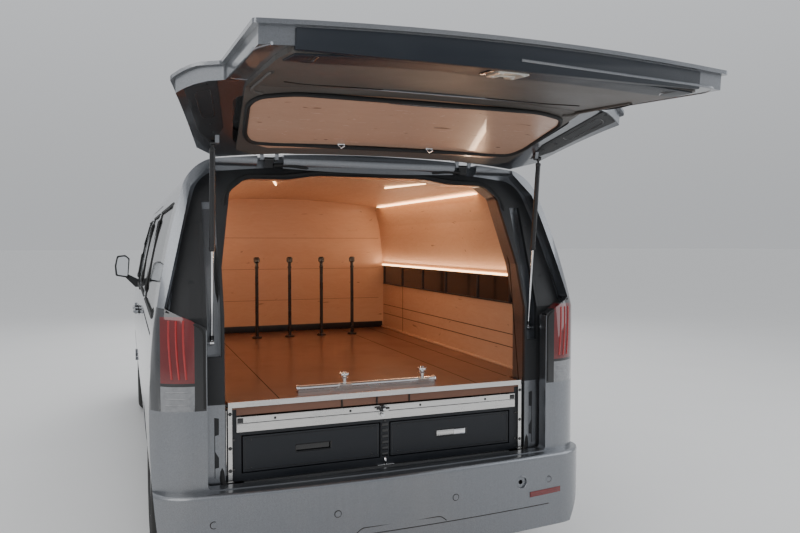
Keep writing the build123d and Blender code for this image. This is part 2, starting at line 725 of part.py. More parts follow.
with BuildPart() as front_bumper:
    add(SHELL)
    add(prism_x(FRONT_BUMPER, -HALF_WIDTH - WALL, HALF_WIDTH + WALL), mode=Mode.INTERSECT)
    add(arch(FRONT_AXLE, ARCH_RADIUS, -HALF_WIDTH - WALL, HALF_WIDTH + WALL), mode=Mode.SUBTRACT)
    add(arch(FRONT_AXLE, STEER_ARCH, -STEER_ARCH_HALF, STEER_ARCH_HALF), mode=Mode.SUBTRACT)
    add(prism_y(mirrored(AIR_INTAKE), FRONT_AXLE, FRONT_END, 25), mode=Mode.SUBTRACT)
save(front_bumper, "front_bumper")

with BuildPart() as headlamps:
    add(SHELL)
    add(prism_y(HEADLAMP, HEADLAMP_REAR, FRONT_END), mode=Mode.INTERSECT)
    mirror(about=Plane.YZ)
save(headlamps, "headlamps")

with BuildPart() as grille:
    add(SHELL)
    add(box(-GRILLE_HALF, GRILLE_HALF, HEADLAMP_REAR, FRONT_END, GRILLE_BOTTOM, GRILLE_TOP),
        mode=Mode.INTERSECT)
    for row in range(GRILLE_SLOTS):
        z = GRILLE_BOTTOM + GRILLE_BORDER + row * GRILLE_PITCH
        for side in (-1, 1):
            centre = side * (GRILLE_HALF / 2)
            half = GRILLE_HALF / 2 - GRILLE_BORDER
            add(box(centre - half, centre + half, HEADLAMP_REAR, FRONT_END, z, z + GRILLE_SLOT),
                mode=Mode.SUBTRACT)
save(grille, "grille")

with BuildPart() as side_panels:
    add(SHELL)
    add(prism_x(SIDE_REGION, SIDE_INNER_X, HALF_WIDTH + WALL), mode=Mode.INTERSECT)
    add(box(0, SILL_HALF, REAR_END, FRONT_END, SILL_BOTTOM, SILL_BOTTOM + WALL),
        mode=Mode.SUBTRACT)
    add(ROOF_ZONE, mode=Mode.SUBTRACT)
    add(SCREEN_ZONE, mode=Mode.SUBTRACT)
    add(COWL_ZONE, mode=Mode.SUBTRACT)
    add(tailgate_void.part, mode=Mode.SUBTRACT)
    add(BUMPER_ZONE, mode=Mode.SUBTRACT)
    add(LAMP_ZONE, mode=Mode.SUBTRACT)
    add(DOOR_VOID, mode=Mode.SUBTRACT)
    add(prism_x(QUARTER_GLASS, SIDE_INNER_X, HALF_WIDTH + WALL, 20), mode=Mode.SUBTRACT)
    add(prism_x(SLIDING_DOOR, SIDE_INNER_X, HALF_WIDTH + WALL, 40), mode=Mode.SUBTRACT)
    add(prism_x(REAR_WINDOW, SIDE_INNER_X, HALF_WIDTH + WALL, 40), mode=Mode.SUBTRACT)
    add(arch(REAR_AXLE, ARCH_RADIUS, 0, HALF_WIDTH + WALL), mode=Mode.SUBTRACT)
    add(box(BELT_LINE[0] - DOOR_RAIL_DEPTH, HALF_WIDTH + WALL, *DOOR_RAIL), mode=Mode.SUBTRACT)
    mirror(about=Plane.YZ)
save(side_panels, "side_panels")

with BuildPart() as door_seat:
    add(INNER_SKIN)
    add(INNER, mode=Mode.SUBTRACT)
    add(prism_x(SLIDING_DOOR, SIDE_INNER_X, HALF_WIDTH + WALL, 40), mode=Mode.INTERSECT)

with BuildPart() as sliding_doors:
    add(OUTER)
    add(INNER_SKIN, mode=Mode.SUBTRACT)
    add(prism_x(SLIDING_DOOR, SIDE_INNER_X, HALF_WIDTH + WALL, 40, -SHUT_GAP), mode=Mode.INTERSECT)
    add(door_seat.part)
    add(prism_x(SLIDING_WINDOW, SIDE_INNER_X, HALF_WIDTH + WALL, 40), mode=Mode.SUBTRACT)
    mirror(about=Plane.YZ)
save(sliding_doors, "sliding_doors")

with BuildPart() as window_zones:
    for points, corner in ((QUARTER_GLASS, 20), (SLIDING_WINDOW, 40), (REAR_WINDOW, 40)):
        add(prism_x(points, SIDE_INNER_X, HALF_WIDTH + WALL, corner))

with BuildPart() as side_windows:
    add(PANES)
    add(window_zones.part, mode=Mode.INTERSECT)
    mirror(about=Plane.YZ)
save(side_windows, "side_windows")

with BuildPart() as rear_bumper:
    add(SHELL)
    add(BUMPER_ZONE, mode=Mode.INTERSECT)
    add(tailgate_void.part, mode=Mode.SUBTRACT)
    add(arch(REAR_AXLE, ARCH_RADIUS, -HALF_WIDTH - WALL, HALF_WIDTH + WALL), mode=Mode.SUBTRACT)
    add(box(WALL - SILL_HALF, SILL_HALF - WALL, BUMPER_TRAY[1], BUMPER_TRAY[0], 0, SILL_EDGE[1]),
        mode=Mode.SUBTRACT)
    with BuildSketch(Plane.XZ.offset(-TAIL_FACE)):
        with Locations(TOW_EYE):
            Circle(TOW_EYE_RADIUS)
    extrude(amount=2 * WALL, both=True, mode=Mode.SUBTRACT)
    with BuildSketch(Plane.XZ.offset(-TOW_EYE_FACE)):
        with Locations(TOW_EYE):
            Circle(TOW_EYE_SEAT)
    extrude(amount=WALL, mode=Mode.SUBTRACT)
save(rear_bumper, "rear_bumper")

with BuildPart() as tail_lamps:
    add(SHELL)
    add(LAMP_ZONE, mode=Mode.INTERSECT)
    mirror(about=Plane.YZ)
save(tail_lamps, "tail_lamps")

COVER_ZONE = box(-HALF_WIDTH, HALF_WIDTH, REAR_END, HINGE_Y + 2 * WALL, LAMP_TOP_Z, HEIGHT)
LOAD_OPENING = prism_y(mirrored(OPENING), REAR_END, HINGE_Y + 4 * WALL, 24)
POCKET = prism_x(STRUT_POCKET, *STRUT_POCKET_X)

with BuildPart() as pillar_covers:
    add(frame_slab(DEPTH_FRAME, DEPTH_COVER))
    add(COVER_ZONE, mode=Mode.INTERSECT)
    add(LOAD_OPENING, mode=Mode.SUBTRACT)
    add(POCKET, mode=Mode.SUBTRACT)
    add(POCKET.mirror(Plane.YZ), mode=Mode.SUBTRACT)
save(pillar_covers, "pillar_covers")

with BuildPart() as rear_frame:
    add(frame_slab(DEPTH_FRAME, DEPTH_END))
    add(pillar_covers.part, mode=Mode.SUBTRACT)
    add(LOAD_OPENING, mode=Mode.SUBTRACT)
    add(POCKET, mode=Mode.SUBTRACT)
    add(POCKET.mirror(Plane.YZ), mode=Mode.SUBTRACT)
    for side in (-1, 1):
        wall = side * STRUT_POCKET_X[1]
        stud = side * (STRUT_X + STRUT_EYE_HALF + RUNNING_GAP)
        add(rod_x(DOOR_KNUCKLE, min(wall, stud), max(wall, stud), *STRUT_FOOT))
save(rear_frame, "rear_frame")


def raised(part):
    """Turn a piece of the closed tailgate up to where it stands open."""
    return part.rotate(Axis((0, HINGE_Y, HINGE_Z), (1, 0, 0)), -TAILGATE_OPEN)


def gate_layer(depth0, depth1, points, corner):
    """Layer of the closed tailgate between two depths, inside an outline."""
    with BuildPart() as layer:
        add(prism_y(mirrored(points), REAR_END, HINGE_Y + 2 * WALL, corner))
        add(AHEAD[depth0], mode=Mode.INTERSECT)
        add(AHEAD[depth1], mode=Mode.SUBTRACT)
    return layer.part


with BuildPart() as gate_flange:
    add(prism_y(mirrored(TAILGATE_OUTLINE), REAR_END - WALL, HINGE_Y + 2 * WALL, 0, GATE_EDGE))
    add(prism_y(mirrored(TAILGATE_OUTLINE), REAR_END - WALL, HINGE_Y + 2 * WALL, 0, -GATE_EDGE),
        mode=Mode.SUBTRACT)
    add(AHEAD[GATE_SKIN], mode=Mode.INTERSECT)

with BuildPart() as closed_tailgate:
    add(OUTER)
    add(prism_y(mirrored(TAILGATE_OUTLINE), REAR_END - WALL, HINGE_Y + 2 * WALL, 12),
        mode=Mode.INTERSECT)
    add(behind_roof_edge(0), mode=Mode.INTERSECT)
    add(AHEAD[DEPTH_GATE], mode=Mode.SUBTRACT)
    add(gate_flange.part, mode=Mode.SUBTRACT)
    add(rod_x(HINGE_CLEAR, -HALF_WIDTH, HALF_WIDTH, HINGE_Y, HINGE_Z), mode=Mode.SUBTRACT)
    add(prism_y(mirrored(BACKLIGHT), REAR_END, HINGE_Y + 2 * WALL, 40), mode=Mode.SUBTRACT)
    for side in (-1, 1):
        for edge in (-1, 1):
            inner = side * HINGE_X + edge * (KNUCKLE_HALF + EAR_GAP)
            outer = inner + edge * EAR_WIDTH
            add(prism_x(GATE_EAR, min(inner, outer), max(inner, outer)))
            add(rod_x(KNUCKLE, min(inner, outer), max(inner, outer), HINGE_Y, HINGE_Z))
        reach = KNUCKLE_HALF + EAR_GAP + EAR_WIDTH
        add(rod_x(PIN, side * HINGE_X - reach, side * HINGE_X + reach, HINGE_Y, HINGE_Z))
        add(prism_x(STRUT_LUG, side * STRUT_X - STRUT_EYE_HALF + side * STRUT_LUG_SHIFT,
                    side * STRUT_X + STRUT_EYE_HALF + side * STRUT_LUG_SHIFT))

with BuildPart() as tailgate:
    add(raised(closed_tailgate.part))
save(tailgate, "tailgate")

with BuildPart() as closed_glass:
    add(PANES)
    add(prism_y(mirrored(BACKLIGHT), REAR_END, HINGE_Y + 2 * WALL, 40), mode=Mode.INTERSECT)

with BuildPart() as tailgate_glass:
    add(raised(closed_glass.part))
save(tailgate_glass, "tailgate_glass")

with BuildPart() as closed_lining:
    with BuildSketch(Plane.XZ.offset(-HINGE_Y)):
        add(outline(mirrored(GATE_LINING), 20))
        add(outline(mirrored(WOOD_PANEL), 30), mode=Mode.SUBTRACT)
    extrude(amount=HINGE_Y - REAR_END)
    add(AHEAD[DEPTH_GATE], mode=Mode.INTERSECT)
    add(AHEAD[DEPTH_LINING], mode=Mode.SUBTRACT)

with BuildPart() as tailgate_lining:
    add(raised(closed_lining.part))
save(tailgate_lining, "tailgate_lining")

with BuildPart() as closed_wood:
    add(gate_layer(DEPTH_GATE, DEPTH_LINING, WOOD_PANEL, 30))
    with BuildSketch(Plane.XZ.offset(-HINGE_Y)):
        with Locations((0, PANEL_SLOT[2])):
            Ellipse(PANEL_SLOT[0], PANEL_SLOT[1])
    extrude(amount=HINGE_Y - REAR_END, mode=Mode.SUBTRACT)

with BuildPart() as tailgate_wood:
    add(raised(closed_wood.part))
save(tailgate_wood, "tailgate_wood")


def sided(part, side):
    """The piece itself on the right, or its mirror image on the left."""
    return part if side > 0 else part.mirror(Plane.YZ)


with BuildPart() as right_door:
    add(SHELL)
    add(DOOR_ZONE, mode=Mode.INTERSECT)
    add(DOOR_WINDOW, mode=Mode.SUBTRACT)
    for z in DOOR_HINGE_ZS:
        low = z - DOOR_KNUCKLE_HEIGHT / 2
        high = z + DOOR_KNUCKLE_HEIGHT / 2
        add(box(DOOR_HINGE_X - 3 * DOOR_KNUCKLE, HALF_WIDTH + WALL, DOOR_FRONT - 2 * DOOR_KNUCKLE,
                FENDER_REAR, low - DOOR_PIN, high + DOOR_PIN), mode=Mode.SUBTRACT)
        for base in (low - DOOR_PIN - DOOR_KNUCKLE_HEIGHT, high + DOOR_PIN):
            add(rod_z(DOOR_KNUCKLE, base, base + DOOR_KNUCKLE_HEIGHT, DOOR_HINGE_X, DOOR_HINGE_Y))
            add(box(DOOR_HINGE_X - 4 * DOOR_KNUCKLE, DOOR_HINGE_X, DOOR_FRONT - DOOR_KNUCKLE,
                    DOOR_HINGE_Y, base, base + DOOR_KNUCKLE_HEIGHT))
        add(rod_z(DOOR_PIN, low - 2 * DOOR_KNUCKLE, high + 2 * DOOR_KNUCKLE, DOOR_HINGE_X, DOOR_HINGE_Y))

with BuildPart() as right_pane:
    add(PANES)
    add(DOOR_WINDOW, mode=Mode.INTERSECT)

with BuildPart() as right_mirror:
    with BuildSketch(Plane.XZ.offset(-MIRROR_Y[1])):
        add(outline(MIRROR_HEAD, 18))
    extrude(amount=MIRROR_Y[1] - MIRROR_Y[0])
    fillet(right_mirror.edges().group_by(Axis.Y)[0], MIRROR_ROUND[0])
    fillet(right_mirror.edges().group_by(Axis.Y)[-1], MIRROR_ROUND[1])
    add(prism_y(MIRROR_ARM, *MIRROR_ARM_Y))
    add(OUTER, mode=Mode.SUBTRACT)

for side, name in ((1, "right"), (-1, "left")):
    with BuildPart() as door:
        add(sided(right_door.part, side))
    save(door, f"door_{name}")
    with BuildPart() as door_glass:
        add(sided(right_pane.part, side))
    save(door_glass, f"door_glass_{name}")
    with BuildPart() as door_mirror:
        add(sided(right_mirror.part, side))
    save(door_mirror, f"mirror_{name}")


def along(start, end, distance):
    """Point at a distance from start towards end, in Y and Z."""
    span = hypot(end[0] - start[0], end[1] - start[1])
    return (start[0] + (end[0] - start[0]) * distance / span,
            start[1] + (end[1] - start[1]) * distance / span)


def strut_bar(radius, start, end, x):
    """Round bar from one point to another in the plane of a strut."""
    with BuildPart() as bar:
        direction = (0, end[0] - start[0], end[1] - start[1])
        with BuildSketch(Plane(origin=(x, *start), z_dir=direction)):
            Circle(radius)
        extrude(amount=hypot(direction[1], direction[2]))
    return bar.part


for side, name in ((1, "right"), (-1, "left")):
    x = side * STRUT_X
    neck = along(STRUT_TOP, STRUT_FOOT, 2 * STRUT_EYE)
    mouth = along(STRUT_TOP, STRUT_FOOT, 2 * STRUT_EYE + CYLINDER_LENGTH)
    tip = along(STRUT_TOP, STRUT_FOOT, 2 * STRUT_EYE + CYLINDER_LENGTH - ROD_INSIDE)
    with BuildPart() as strut_cylinder:
        add(strut_bar(CYLINDER, neck, mouth, x))
        add(strut_bar(CYLINDER_BORE, along(neck, mouth, 2 * STRUT_EYE), mouth, x), mode=Mode.SUBTRACT)
        add(rod_x(STRUT_EYE, x - STRUT_EYE_HALF, x + STRUT_EYE_HALF, *STRUT_TOP))
        add(strut_bar(ROD, STRUT_TOP, neck, x))
    save(strut_cylinder, f"strut_cylinder_{name}")
    with BuildPart() as strut_rod:
        add(strut_bar(ROD, tip, STRUT_FOOT, x))
        add(rod_x(STRUT_EYE, x - STRUT_EYE_HALF, x + STRUT_EYE_HALF, *STRUT_FOOT))
    save(strut_rod, f"strut_rod_{name}")


def tyre_solid(x, axle):
    """Tyre about an axle line, with rounded shoulders and a hollow bead."""
    half = TYRE_WIDTH / 2
    with BuildPart() as solid:
        with BuildSketch(Plane.XY):
            with BuildLine():
                Polyline((-half + BEAD_INSET, RIM_RADIUS), (-half, RIM_RADIUS + BEAD_HEIGHT),
                         (-half, TYRE_RADIUS - BEAD_HEIGHT),
                         (-half + SHOULDER[0], TYRE_RADIUS - SHOULDER[1]),
                         (-half + TREAD_INSET, TYRE_RADIUS), (0, TYRE_RADIUS))
                mirror(about=Plane.YZ)
                Line((half - BEAD_INSET, RIM_RADIUS), (-half + BEAD_INSET, RIM_RADIUS))
            make_face()
        revolve(axis=Axis.X)
    return solid.part.moved(Location((x, axle, AXLE_HEIGHT)))


def rim_solid(x, axle, side):
    """Spoked rim with its hub and brake disc, outer face away from the vehicle."""
    half = RIM_WIDTH / 2
    face = HUB_FACE - TRACK_HALF
    well = RIM_RADIUS - RIM_WALL
    gaps = (HAT_RADIUS + SPOKE_FOOT, RIM_RADIUS - SPOKE_TIPS[0], RIM_RADIUS - SPOKE_TIPS[1])
    with BuildPart() as solid:
        with BuildSketch(Plane.XY):
            with BuildLine():
                Polyline((-half, RIM_RADIUS), (half, RIM_RADIUS), (half, well - RIM_LIP),
                         (half - RIM_WALL, well - RIM_LIP), (half - 2 * RIM_WALL, well - 2 * RIM_LIP),
                         (-half, well), close=True)
            make_face()
        revolve(axis=Axis.X)
        with BuildSketch(Plane.XY):
            with BuildLine():
                Polyline((face, 0), (face, HAT_RADIUS), (face + HUB_DISH[0], well),
                         (face + sum(HUB_DISH), well), (face + HUB_DISH[1], HAT_RADIUS),
                         (face + HUB_DISH[1], 0), close=True)
            make_face()
        revolve(axis=Axis.X)
        with BuildSketch(Plane.YZ.offset(-half)):
            with PolarLocations(0, SPOKES):
                Polygon(*[(gaps[place], across) for place, across in SPOKE_GAP], align=None)
        extrude(amount=RIM_WIDTH + WALL, mode=Mode.SUBTRACT)
        add(rod_x(HAT_RADIUS, DISC_X[0] - TRACK_HALF, face, 0, 0))
        add(rod_x(DISC_RADIUS, DISC_X[0] - TRACK_HALF, DISC_X[1] - TRACK_HALF, 0, 0))
        add(rod_x(SPINDLE + RUNNING_GAP, DISC_X[0] - TRACK_HALF, SPINDLE_END + 1 - TRACK_HALF, 0, 0),
            mode=Mode.SUBTRACT)
    return sided(solid.part, side).moved(Location((x, axle, AXLE_HEIGHT)))


for axle, place in ((FRONT_AXLE, "front"), (REAR_AXLE, "rear")):
    for side, name in ((1, "right"), (-1, "left")):
        with BuildPart() as tyre:
            add(tyre_solid(side * TRACK_HALF, axle))
        save(tyre, f"tyre_{place}_{name}")
        with BuildPart() as rim:
            add(rim_solid(side * TRACK_HALF, axle, side))
        save(rim, f"rim_{place}_{name}")


def strut_column(radius, start, end):
    """Round bar between two points in X and Z, over the front axle."""
    with BuildPart() as bar:
        with BuildSketch(Plane(origin=(start[0], FRONT_AXLE, start[1]),
                               z_dir=(end[0] - start[0], 0, end[1] - start[1]))):
            Circle(radius)
        extrude(amount=hypot(end[0] - start[0], end[1] - start[1]))
    return bar.part


with BuildPart() as right_knuckle:
    add(strut_column(KNUCKLE_COLUMN, STEER_LOW, STEER_TOP))
    x0, x1, half, tall = KNUCKLE_BLOCK
    add(box(x0, x1, FRONT_AXLE - half, FRONT_AXLE + half, AXLE_HEIGHT - tall, AXLE_HEIGHT + tall))
    add(rod_x(SPINDLE, SPINDLE_START, SPINDLE_END, FRONT_AXLE, AXLE_HEIGHT))
    x0, x1, half, top = KNUCKLE_ARM
    add(box(x0, x1, FRONT_AXLE - half, FRONT_AXLE + half, AXLE_HEIGHT + tall, AXLE_HEIGHT + top))
for side, name in ((1, "right"), (-1, "left")):
    with BuildPart() as knuckle:
        add(sided(right_knuckle.part, side))
    save(knuckle, f"knuckle_{name}")

with BuildPart() as front_subframe:
    reach = PLATE_HALF[1]
    add(box(0, PLATE_HALF[0], FRONT_AXLE - reach, FRONT_AXLE + reach, *PLATE_Z))
    add(box(*RAIL_X, FRONT_AXLE - TOWER_HALF, FRONT_AXLE + TOWER_HALF, PLATE_Z[1], RAIL_Z[0]))
    add(box(*RAIL_X, *RAIL_Y, *RAIL_Z))
    add(prism_z([(x, FRONT_AXLE - half) for x, half in LOWER_ARM]
                + [(x, FRONT_AXLE + half) for x, half in reversed(LOWER_ARM)], *LOWER_ARM_Z))
    x0, x1, top = ARM_BRACKET
    half = LOWER_ARM[0][1]
    add(box(x0, x1, FRONT_AXLE - half, FRONT_AXLE + half, LOWER_ARM_Z[0], top))
    add(box(0, RAIL_X[1], RAIL_Y[1] - RAIL_TIE[0], RAIL_Y[1], RAIL_Z[0], RAIL_TIE[1]))
    mirror(about=Plane.YZ)
save(front_subframe, "front_subframe")

with BuildPart() as engine_block:
    add(box(*ENGINE))
    y0, y1, thick = ENGINE_MOUNT
    add(box(-RAIL_X[1], RAIL_X[1], y0, y1, RAIL_Z[1], RAIL_Z[1] + thick))
save(engine_block, "engine_block")

with BuildPart() as rear_axle:
    add(rod_x(AXLE_TUBE, -AXLE_TUBE_HALF, AXLE_TUBE_HALF, REAR_AXLE, AXLE_HEIGHT))
    add(rod_x(SPINDLE, -SPINDLE_END, SPINDLE_END, REAR_AXLE, AXLE_HEIGHT))
    add(rod_x(DIFFERENTIAL, -DIFFERENTIAL_HALF, DIFFERENTIAL_HALF, REAR_AXLE, AXLE_HEIGHT))
    add(strut_bar(SHAFT, (REAR_AXLE, SHAFT_Z[0]), (ENGINE_Y[0] - 3 * RUNNING_GAP, SHAFT_Z[1]), 0))
    for side in (-1, 1):
        centre = side * AXLE_ARM_X
        add(prism_x(AXLE_ARM, centre - AXLE_ARM_HALF, centre + AXLE_ARM_HALF))
save(rear_axle, "rear_axle")

with BuildPart() as exhaust:
    for run in (EXHAUST_FRONT, EXHAUST_REAR):
        for start, end in zip(run, run[1:]):
            add(strut_bar(EXHAUST, start, end, EXHAUST_X))
        for y, z in run[1:-1]:
            with Locations((EXHAUST_X, y, z)):
                Sphere(EXHAUST)
    add(strut_bar(SILENCER, *SILENCER_RUN, EXHAUST_X))
    for y in HANGER_YS:
        add(box(EXHAUST_X - HANGER, EXHAUST_X + HANGER, y - HANGER, y + HANGER, EXHAUST_REAR[-2][1],
                FLOOR_TOP - FLOOR_SHEET))
save(exhaust, "exhaust")

HOUSES = []
for axle, wall in ((FRONT_AXLE, HOUSE_INNER_FRONT), (REAR_AXLE, HOUSE_INNER_REAR)):
    HOUSES.append(arch(axle, HOUSE_RADIUS + HOUSE_SHEET, wall - HOUSE_SHEET, HALF_WIDTH + WALL))
with BuildPart() as wheelhouses:
    for outer in HOUSES:
        add(outer)
    for axle, wall in ((FRONT_AXLE, HOUSE_INNER_FRONT), (REAR_AXLE, HOUSE_INNER_REAR)):
        add(arch(axle, HOUSE_RADIUS, wall, HALF_WIDTH + WALL), mode=Mode.SUBTRACT)
    add(INNER, mode=Mode.INTERSECT)
    add(box(0, HALF_WIDTH, REAR_END, FRONT_END, 0, AXLE_HEIGHT + 90), mode=Mode.SUBTRACT)
    mirror(about=Plane.YZ)
save(wheelhouses, "wheelhouses")

with BuildPart() as floor_pan:
    add(prism_x(FLOOR_PROFILE, -HALF_WIDTH, HALF_WIDTH))
    add(INNER, mode=Mode.INTERSECT)
    add(AHEAD[DEPTH_END], mode=Mode.INTERSECT)
    for house in HOUSES:
        add(house, mode=Mode.SUBTRACT)
        add(house.mirror(Plane.YZ), mode=Mode.SUBTRACT)
    for side in (-1, 1):
        x0 = side * HOOD_HINGE_X - HOOD_KNUCKLE_HALF
        x1 = side * HOOD_HINGE_X + HOOD_KNUCKLE_HALF
        add(prism_x(HOOD_BRACKET, x0, x1))
        add(rod_x(HOOD_KNUCKLE, x0, x1, HOOD_HINGE_Y, HOOD_HINGE_Z))
        add(rod_x(HOOD_PIN + RUNNING_GAP, x0, x1, HOOD_HINGE_Y, HOOD_HINGE_Z), mode=Mode.SUBTRACT)
save(floor_pan, "floor_pan")

with BuildPart() as dashboard:
    add(prism_x(DASH, -DASH_HALF, DASH_HALF))
    add(strut_bar(COLUMN_RADIUS, COLUMN_TOP, COLUMN_FOOT, DRIVER_X))
    add(INNER, mode=Mode.INTERSECT)
    add(floor_pan.part, mode=Mode.SUBTRACT)
save(dashboard, "dashboard")

COLUMN_AXIS = (0, COLUMN_TOP[0] - COLUMN_FOOT[0], COLUMN_TOP[1] - COLUMN_FOOT[1])
with BuildPart() as steering_wheel:
    hub_end = along(COLUMN_FOOT, COLUMN_TOP, hypot(*COLUMN_AXIS[1:]) + RUNNING_GAP)
    wheel_plane = Plane(origin=(DRIVER_X, *hub_end), x_dir=(1, 0, 0), z_dir=COLUMN_AXIS)
    with BuildSketch(wheel_plane):
        Circle(60)
    extrude(amount=40)
    with BuildSketch(wheel_plane.offset(10)):
        with PolarLocations(0, 3, 30):
            Rectangle(WHEEL_RIM, 34, align=(Align.MIN, Align.CENTER))
    extrude(amount=16)
    with BuildSketch(wheel_plane.offset(18)) as ring:
        Circle(WHEEL_RIM + WHEEL_TUBE / 2)
        Circle(WHEEL_RIM - WHEEL_TUBE, mode=Mode.SUBTRACT)
    extrude(amount=WHEEL_TUBE, both=True)
save(steering_wheel, "steering_wheel")

with BuildPart() as cab_seats:
    for centre in SEAT_XS:
        for points, half in ((CUSHION, SEAT_HALF), (BACKREST, SEAT_HALF - 10), (HEADREST, 130),
                             (SEAT_BASE, SEAT_HALF - 40)):
            add(prism_x(points, centre - half, centre + half))
        add(rod_z(9, 1400, 1460, centre - 60, 815))
        add(rod_z(9, 1400, 1460, centre + 60, 815))
save(cab_seats, "cab_seats")

with BuildPart() as side_linings:
    add(prism_y(LINING_PROFILE, REAR_END, PARTITION_Y))
    add(INNER, mode=Mode.INTERSECT)
    add(AHEAD[DEPTH_END], mode=Mode.INTERSECT)
    mirror(about=Plane.YZ)
save(side_linings, "side_linings")

with BuildPart() as ceiling_lining:
    with BuildSketch(Plane.XZ.offset(-PARTITION_Y)):
        with BuildLine():
            ThreePointArc((-CEILING_HALF, CEILING_SIDE_Z), (0, CEILING_Z), (CEILING_HALF, CEILING_SIDE_Z))
            Line((CEILING_HALF, CEILING_SIDE_Z), (CEILING_HALF, CEILING_SIDE_Z + CEILING_BOARD))
            ThreePointArc((CEILING_HALF, CEILING_SIDE_Z + CEILING_BOARD), (0, CEILING_Z + CEILING_BOARD),
                          (-CEILING_HALF, CEILING_SIDE_Z + CEILING_BOARD))
            Line((-CEILING_HALF, CEILING_SIDE_Z + CEILING_BOARD), (-CEILING_HALF, CEILING_SIDE_Z))
        make_face()
    extrude(amount=PARTITION_Y - REAR_END)
    add(INNER, mode=Mode.INTERSECT)
    add(AHEAD[DEPTH_END], mode=Mode.INTERSECT)
save(ceiling_lining, "ceiling_lining")

with BuildPart() as partition:
    add(box(-HALF_WIDTH, HALF_WIDTH, PARTITION_Y, PARTITION_Y + PARTITION_BOARD, FLOOR_TOP, HEIGHT))
    add(INNER, mode=Mode.INTERSECT)
save(partition, "partition")

with BuildPart() as load_deck:
    with BuildSketch(Plane.XY.offset(DECK_TOP - DECK_BOARD)):
        add(outline(mirrored([(EDGE_BAR_HALF, DECK_REAR), (EDGE_BAR_HALF, FRAME_FRONT),
                              (WALL_LINING_X, FRAME_FRONT), (WALL_LINING_X, PARTITION_Y)])))
    extrude(amount=DECK_BOARD)
    add(box(-TRAY_FRONT_HALF, TRAY_FRONT_HALF, DECK_REAR, CASE_REAR,
            TRAY_FRONT_Z[1] + SHUT_GAP, DECK_TOP - DECK_BOARD))
save(load_deck, "load_deck")

with BuildPart() as deck_rails:
    add(box(-EDGE_BAR_HALF, EDGE_BAR_HALF, DECK_REAR - EDGE_BAR, DECK_REAR, *EDGE_BAR_Z))
    for side in (-1, 1):
        near, far = sorted((side * UPRIGHT_X[0], side * UPRIGHT_X[1]))
        add(box(near, far, DECK_REAR - EDGE_BAR, CASE_REAR, CASE_FLOOR[0], DECK_TOP - DECK_BOARD))
        add(box(near, far, DECK_REAR - EDGE_BAR, DECK_REAR, DECK_TOP - DECK_BOARD, EDGE_BAR_Z[0]))
    x0, x1, y0, y1, thick = CLAMP_BAR
    add(box(x0, x1, y0, y1, DECK_TOP, DECK_TOP + thick))
    for centre in CLAMP_XS:
        add(box(centre - 28, centre + 28, y0 - 6, y1 + 6, DECK_TOP, DECK_TOP + 26))
        add(rod_z(9, DECK_TOP + 26, DECK_TOP + 52, centre, (y0 + y1) / 2))
save(deck_rails, "deck_rails")

with BuildPart() as stop_posts:
    for centre in POST_XS:
        with BuildSketch(Plane.XZ.offset(-POST_Y)):
            with BuildLine():
                Polyline((centre, DECK_TOP), (centre + POST_FOOT, DECK_TOP),
                         (centre + POST_FOOT, DECK_TOP + 8), (centre + POST_RADIUS, DECK_TOP + 14),
                         (centre + POST_RADIUS, POST_TOP - 2 * POST_KNOB),
                         (centre + POST_KNOB, POST_TOP - 1.5 * POST_KNOB),
                         (centre + POST_KNOB, POST_TOP - 8), (centre + POST_KNOB - 8, POST_TOP),
                         (centre, POST_TOP), close=True)
            make_face()
        revolve(axis=Axis((centre, POST_Y, 0), (0, 0, 1)))
save(stop_posts, "stop_posts")

with BuildPart() as drawer_case:
    inner = CASE_HALF - CASE_SIDE
    add(box(inner, CASE_HALF, CASE_REAR, CASE_FRONT, CASE_FLOOR[0], DECK_TOP - DECK_BOARD))
    add(box(inner, CASE_HALF, CASE_FRONT, PARTITION_Y, CASE_FLOOR[0], DECK_TOP - DECK_BOARD))
    add(box(0, inner, CASE_REAR, CASE_FRONT, *CASE_FLOOR))
    add(box(0, CASE_POST, CASE_REAR, CASE_FRONT, CASE_FLOOR[1], SHELF[0]))
    add(box(0, inner, CASE_REAR, CASE_FRONT, *SHELF))
    add(box(0, inner, CASE_FRONT - DRAWER_WALL, CASE_FRONT, CASE_FLOOR[1], SHELF[0]))
    for edge in (DRAWER_X[0] + 3 * RUNNER, DRAWER_X[1] - 4 * RUNNER):
        add(box(edge, edge + RUNNER, CASE_REAR + 2 * DRAWER_FRONT, CASE_FRONT, CASE_FLOOR[1],
                DRAWER_Z[0] - RUNNING_GAP))
    add(box(TRAY_HALF - 3 * RUNNER, TRAY_HALF - 2 * RUNNER, CASE_REAR + 2 * DRAWER_FRONT, CASE_FRONT,
            SHELF[1], TRAY_Z[0] - RUNNING_GAP))
    mirror(about=Plane.YZ)
save(drawer_case, "drawer_case")

for side, name in ((1, "right"), (-1, "left")):
    with BuildPart() as drawer:
        x0, x1 = DRAWER_X
        z0, z1 = DRAWER_Z
        body = z1 - 2 * DRAWER_WALL
        rear = CASE_REAR
        add(box(x0, x1, rear, rear + DRAWER_FRONT, z0, z1))
        add(box(x0 + DRAWER_WALL, x1 - DRAWER_WALL, rear + DRAWER_FRONT, rear + DRAWER_LENGTH, z0, body))
        add(box(x0 + 2 * DRAWER_WALL, x1 - 2 * DRAWER_WALL, rear + DRAWER_FRONT,
                rear + DRAWER_LENGTH - DRAWER_WALL, z0 + DRAWER_WALL, body), mode=Mode.SUBTRACT)
        centre, half, low, high = GRIP
        add(box(centre - half, centre + half, rear, rear + DRAWER_WALL, low, high), mode=Mode.SUBTRACT)
        if side < 0:
            mirror(about=Plane.YZ)
            add(box(0, HALF_WIDTH, REAR_END, CASE_FRONT, 0, HEIGHT), mode=Mode.SUBTRACT)
    save(drawer, f"drawer_{name}")

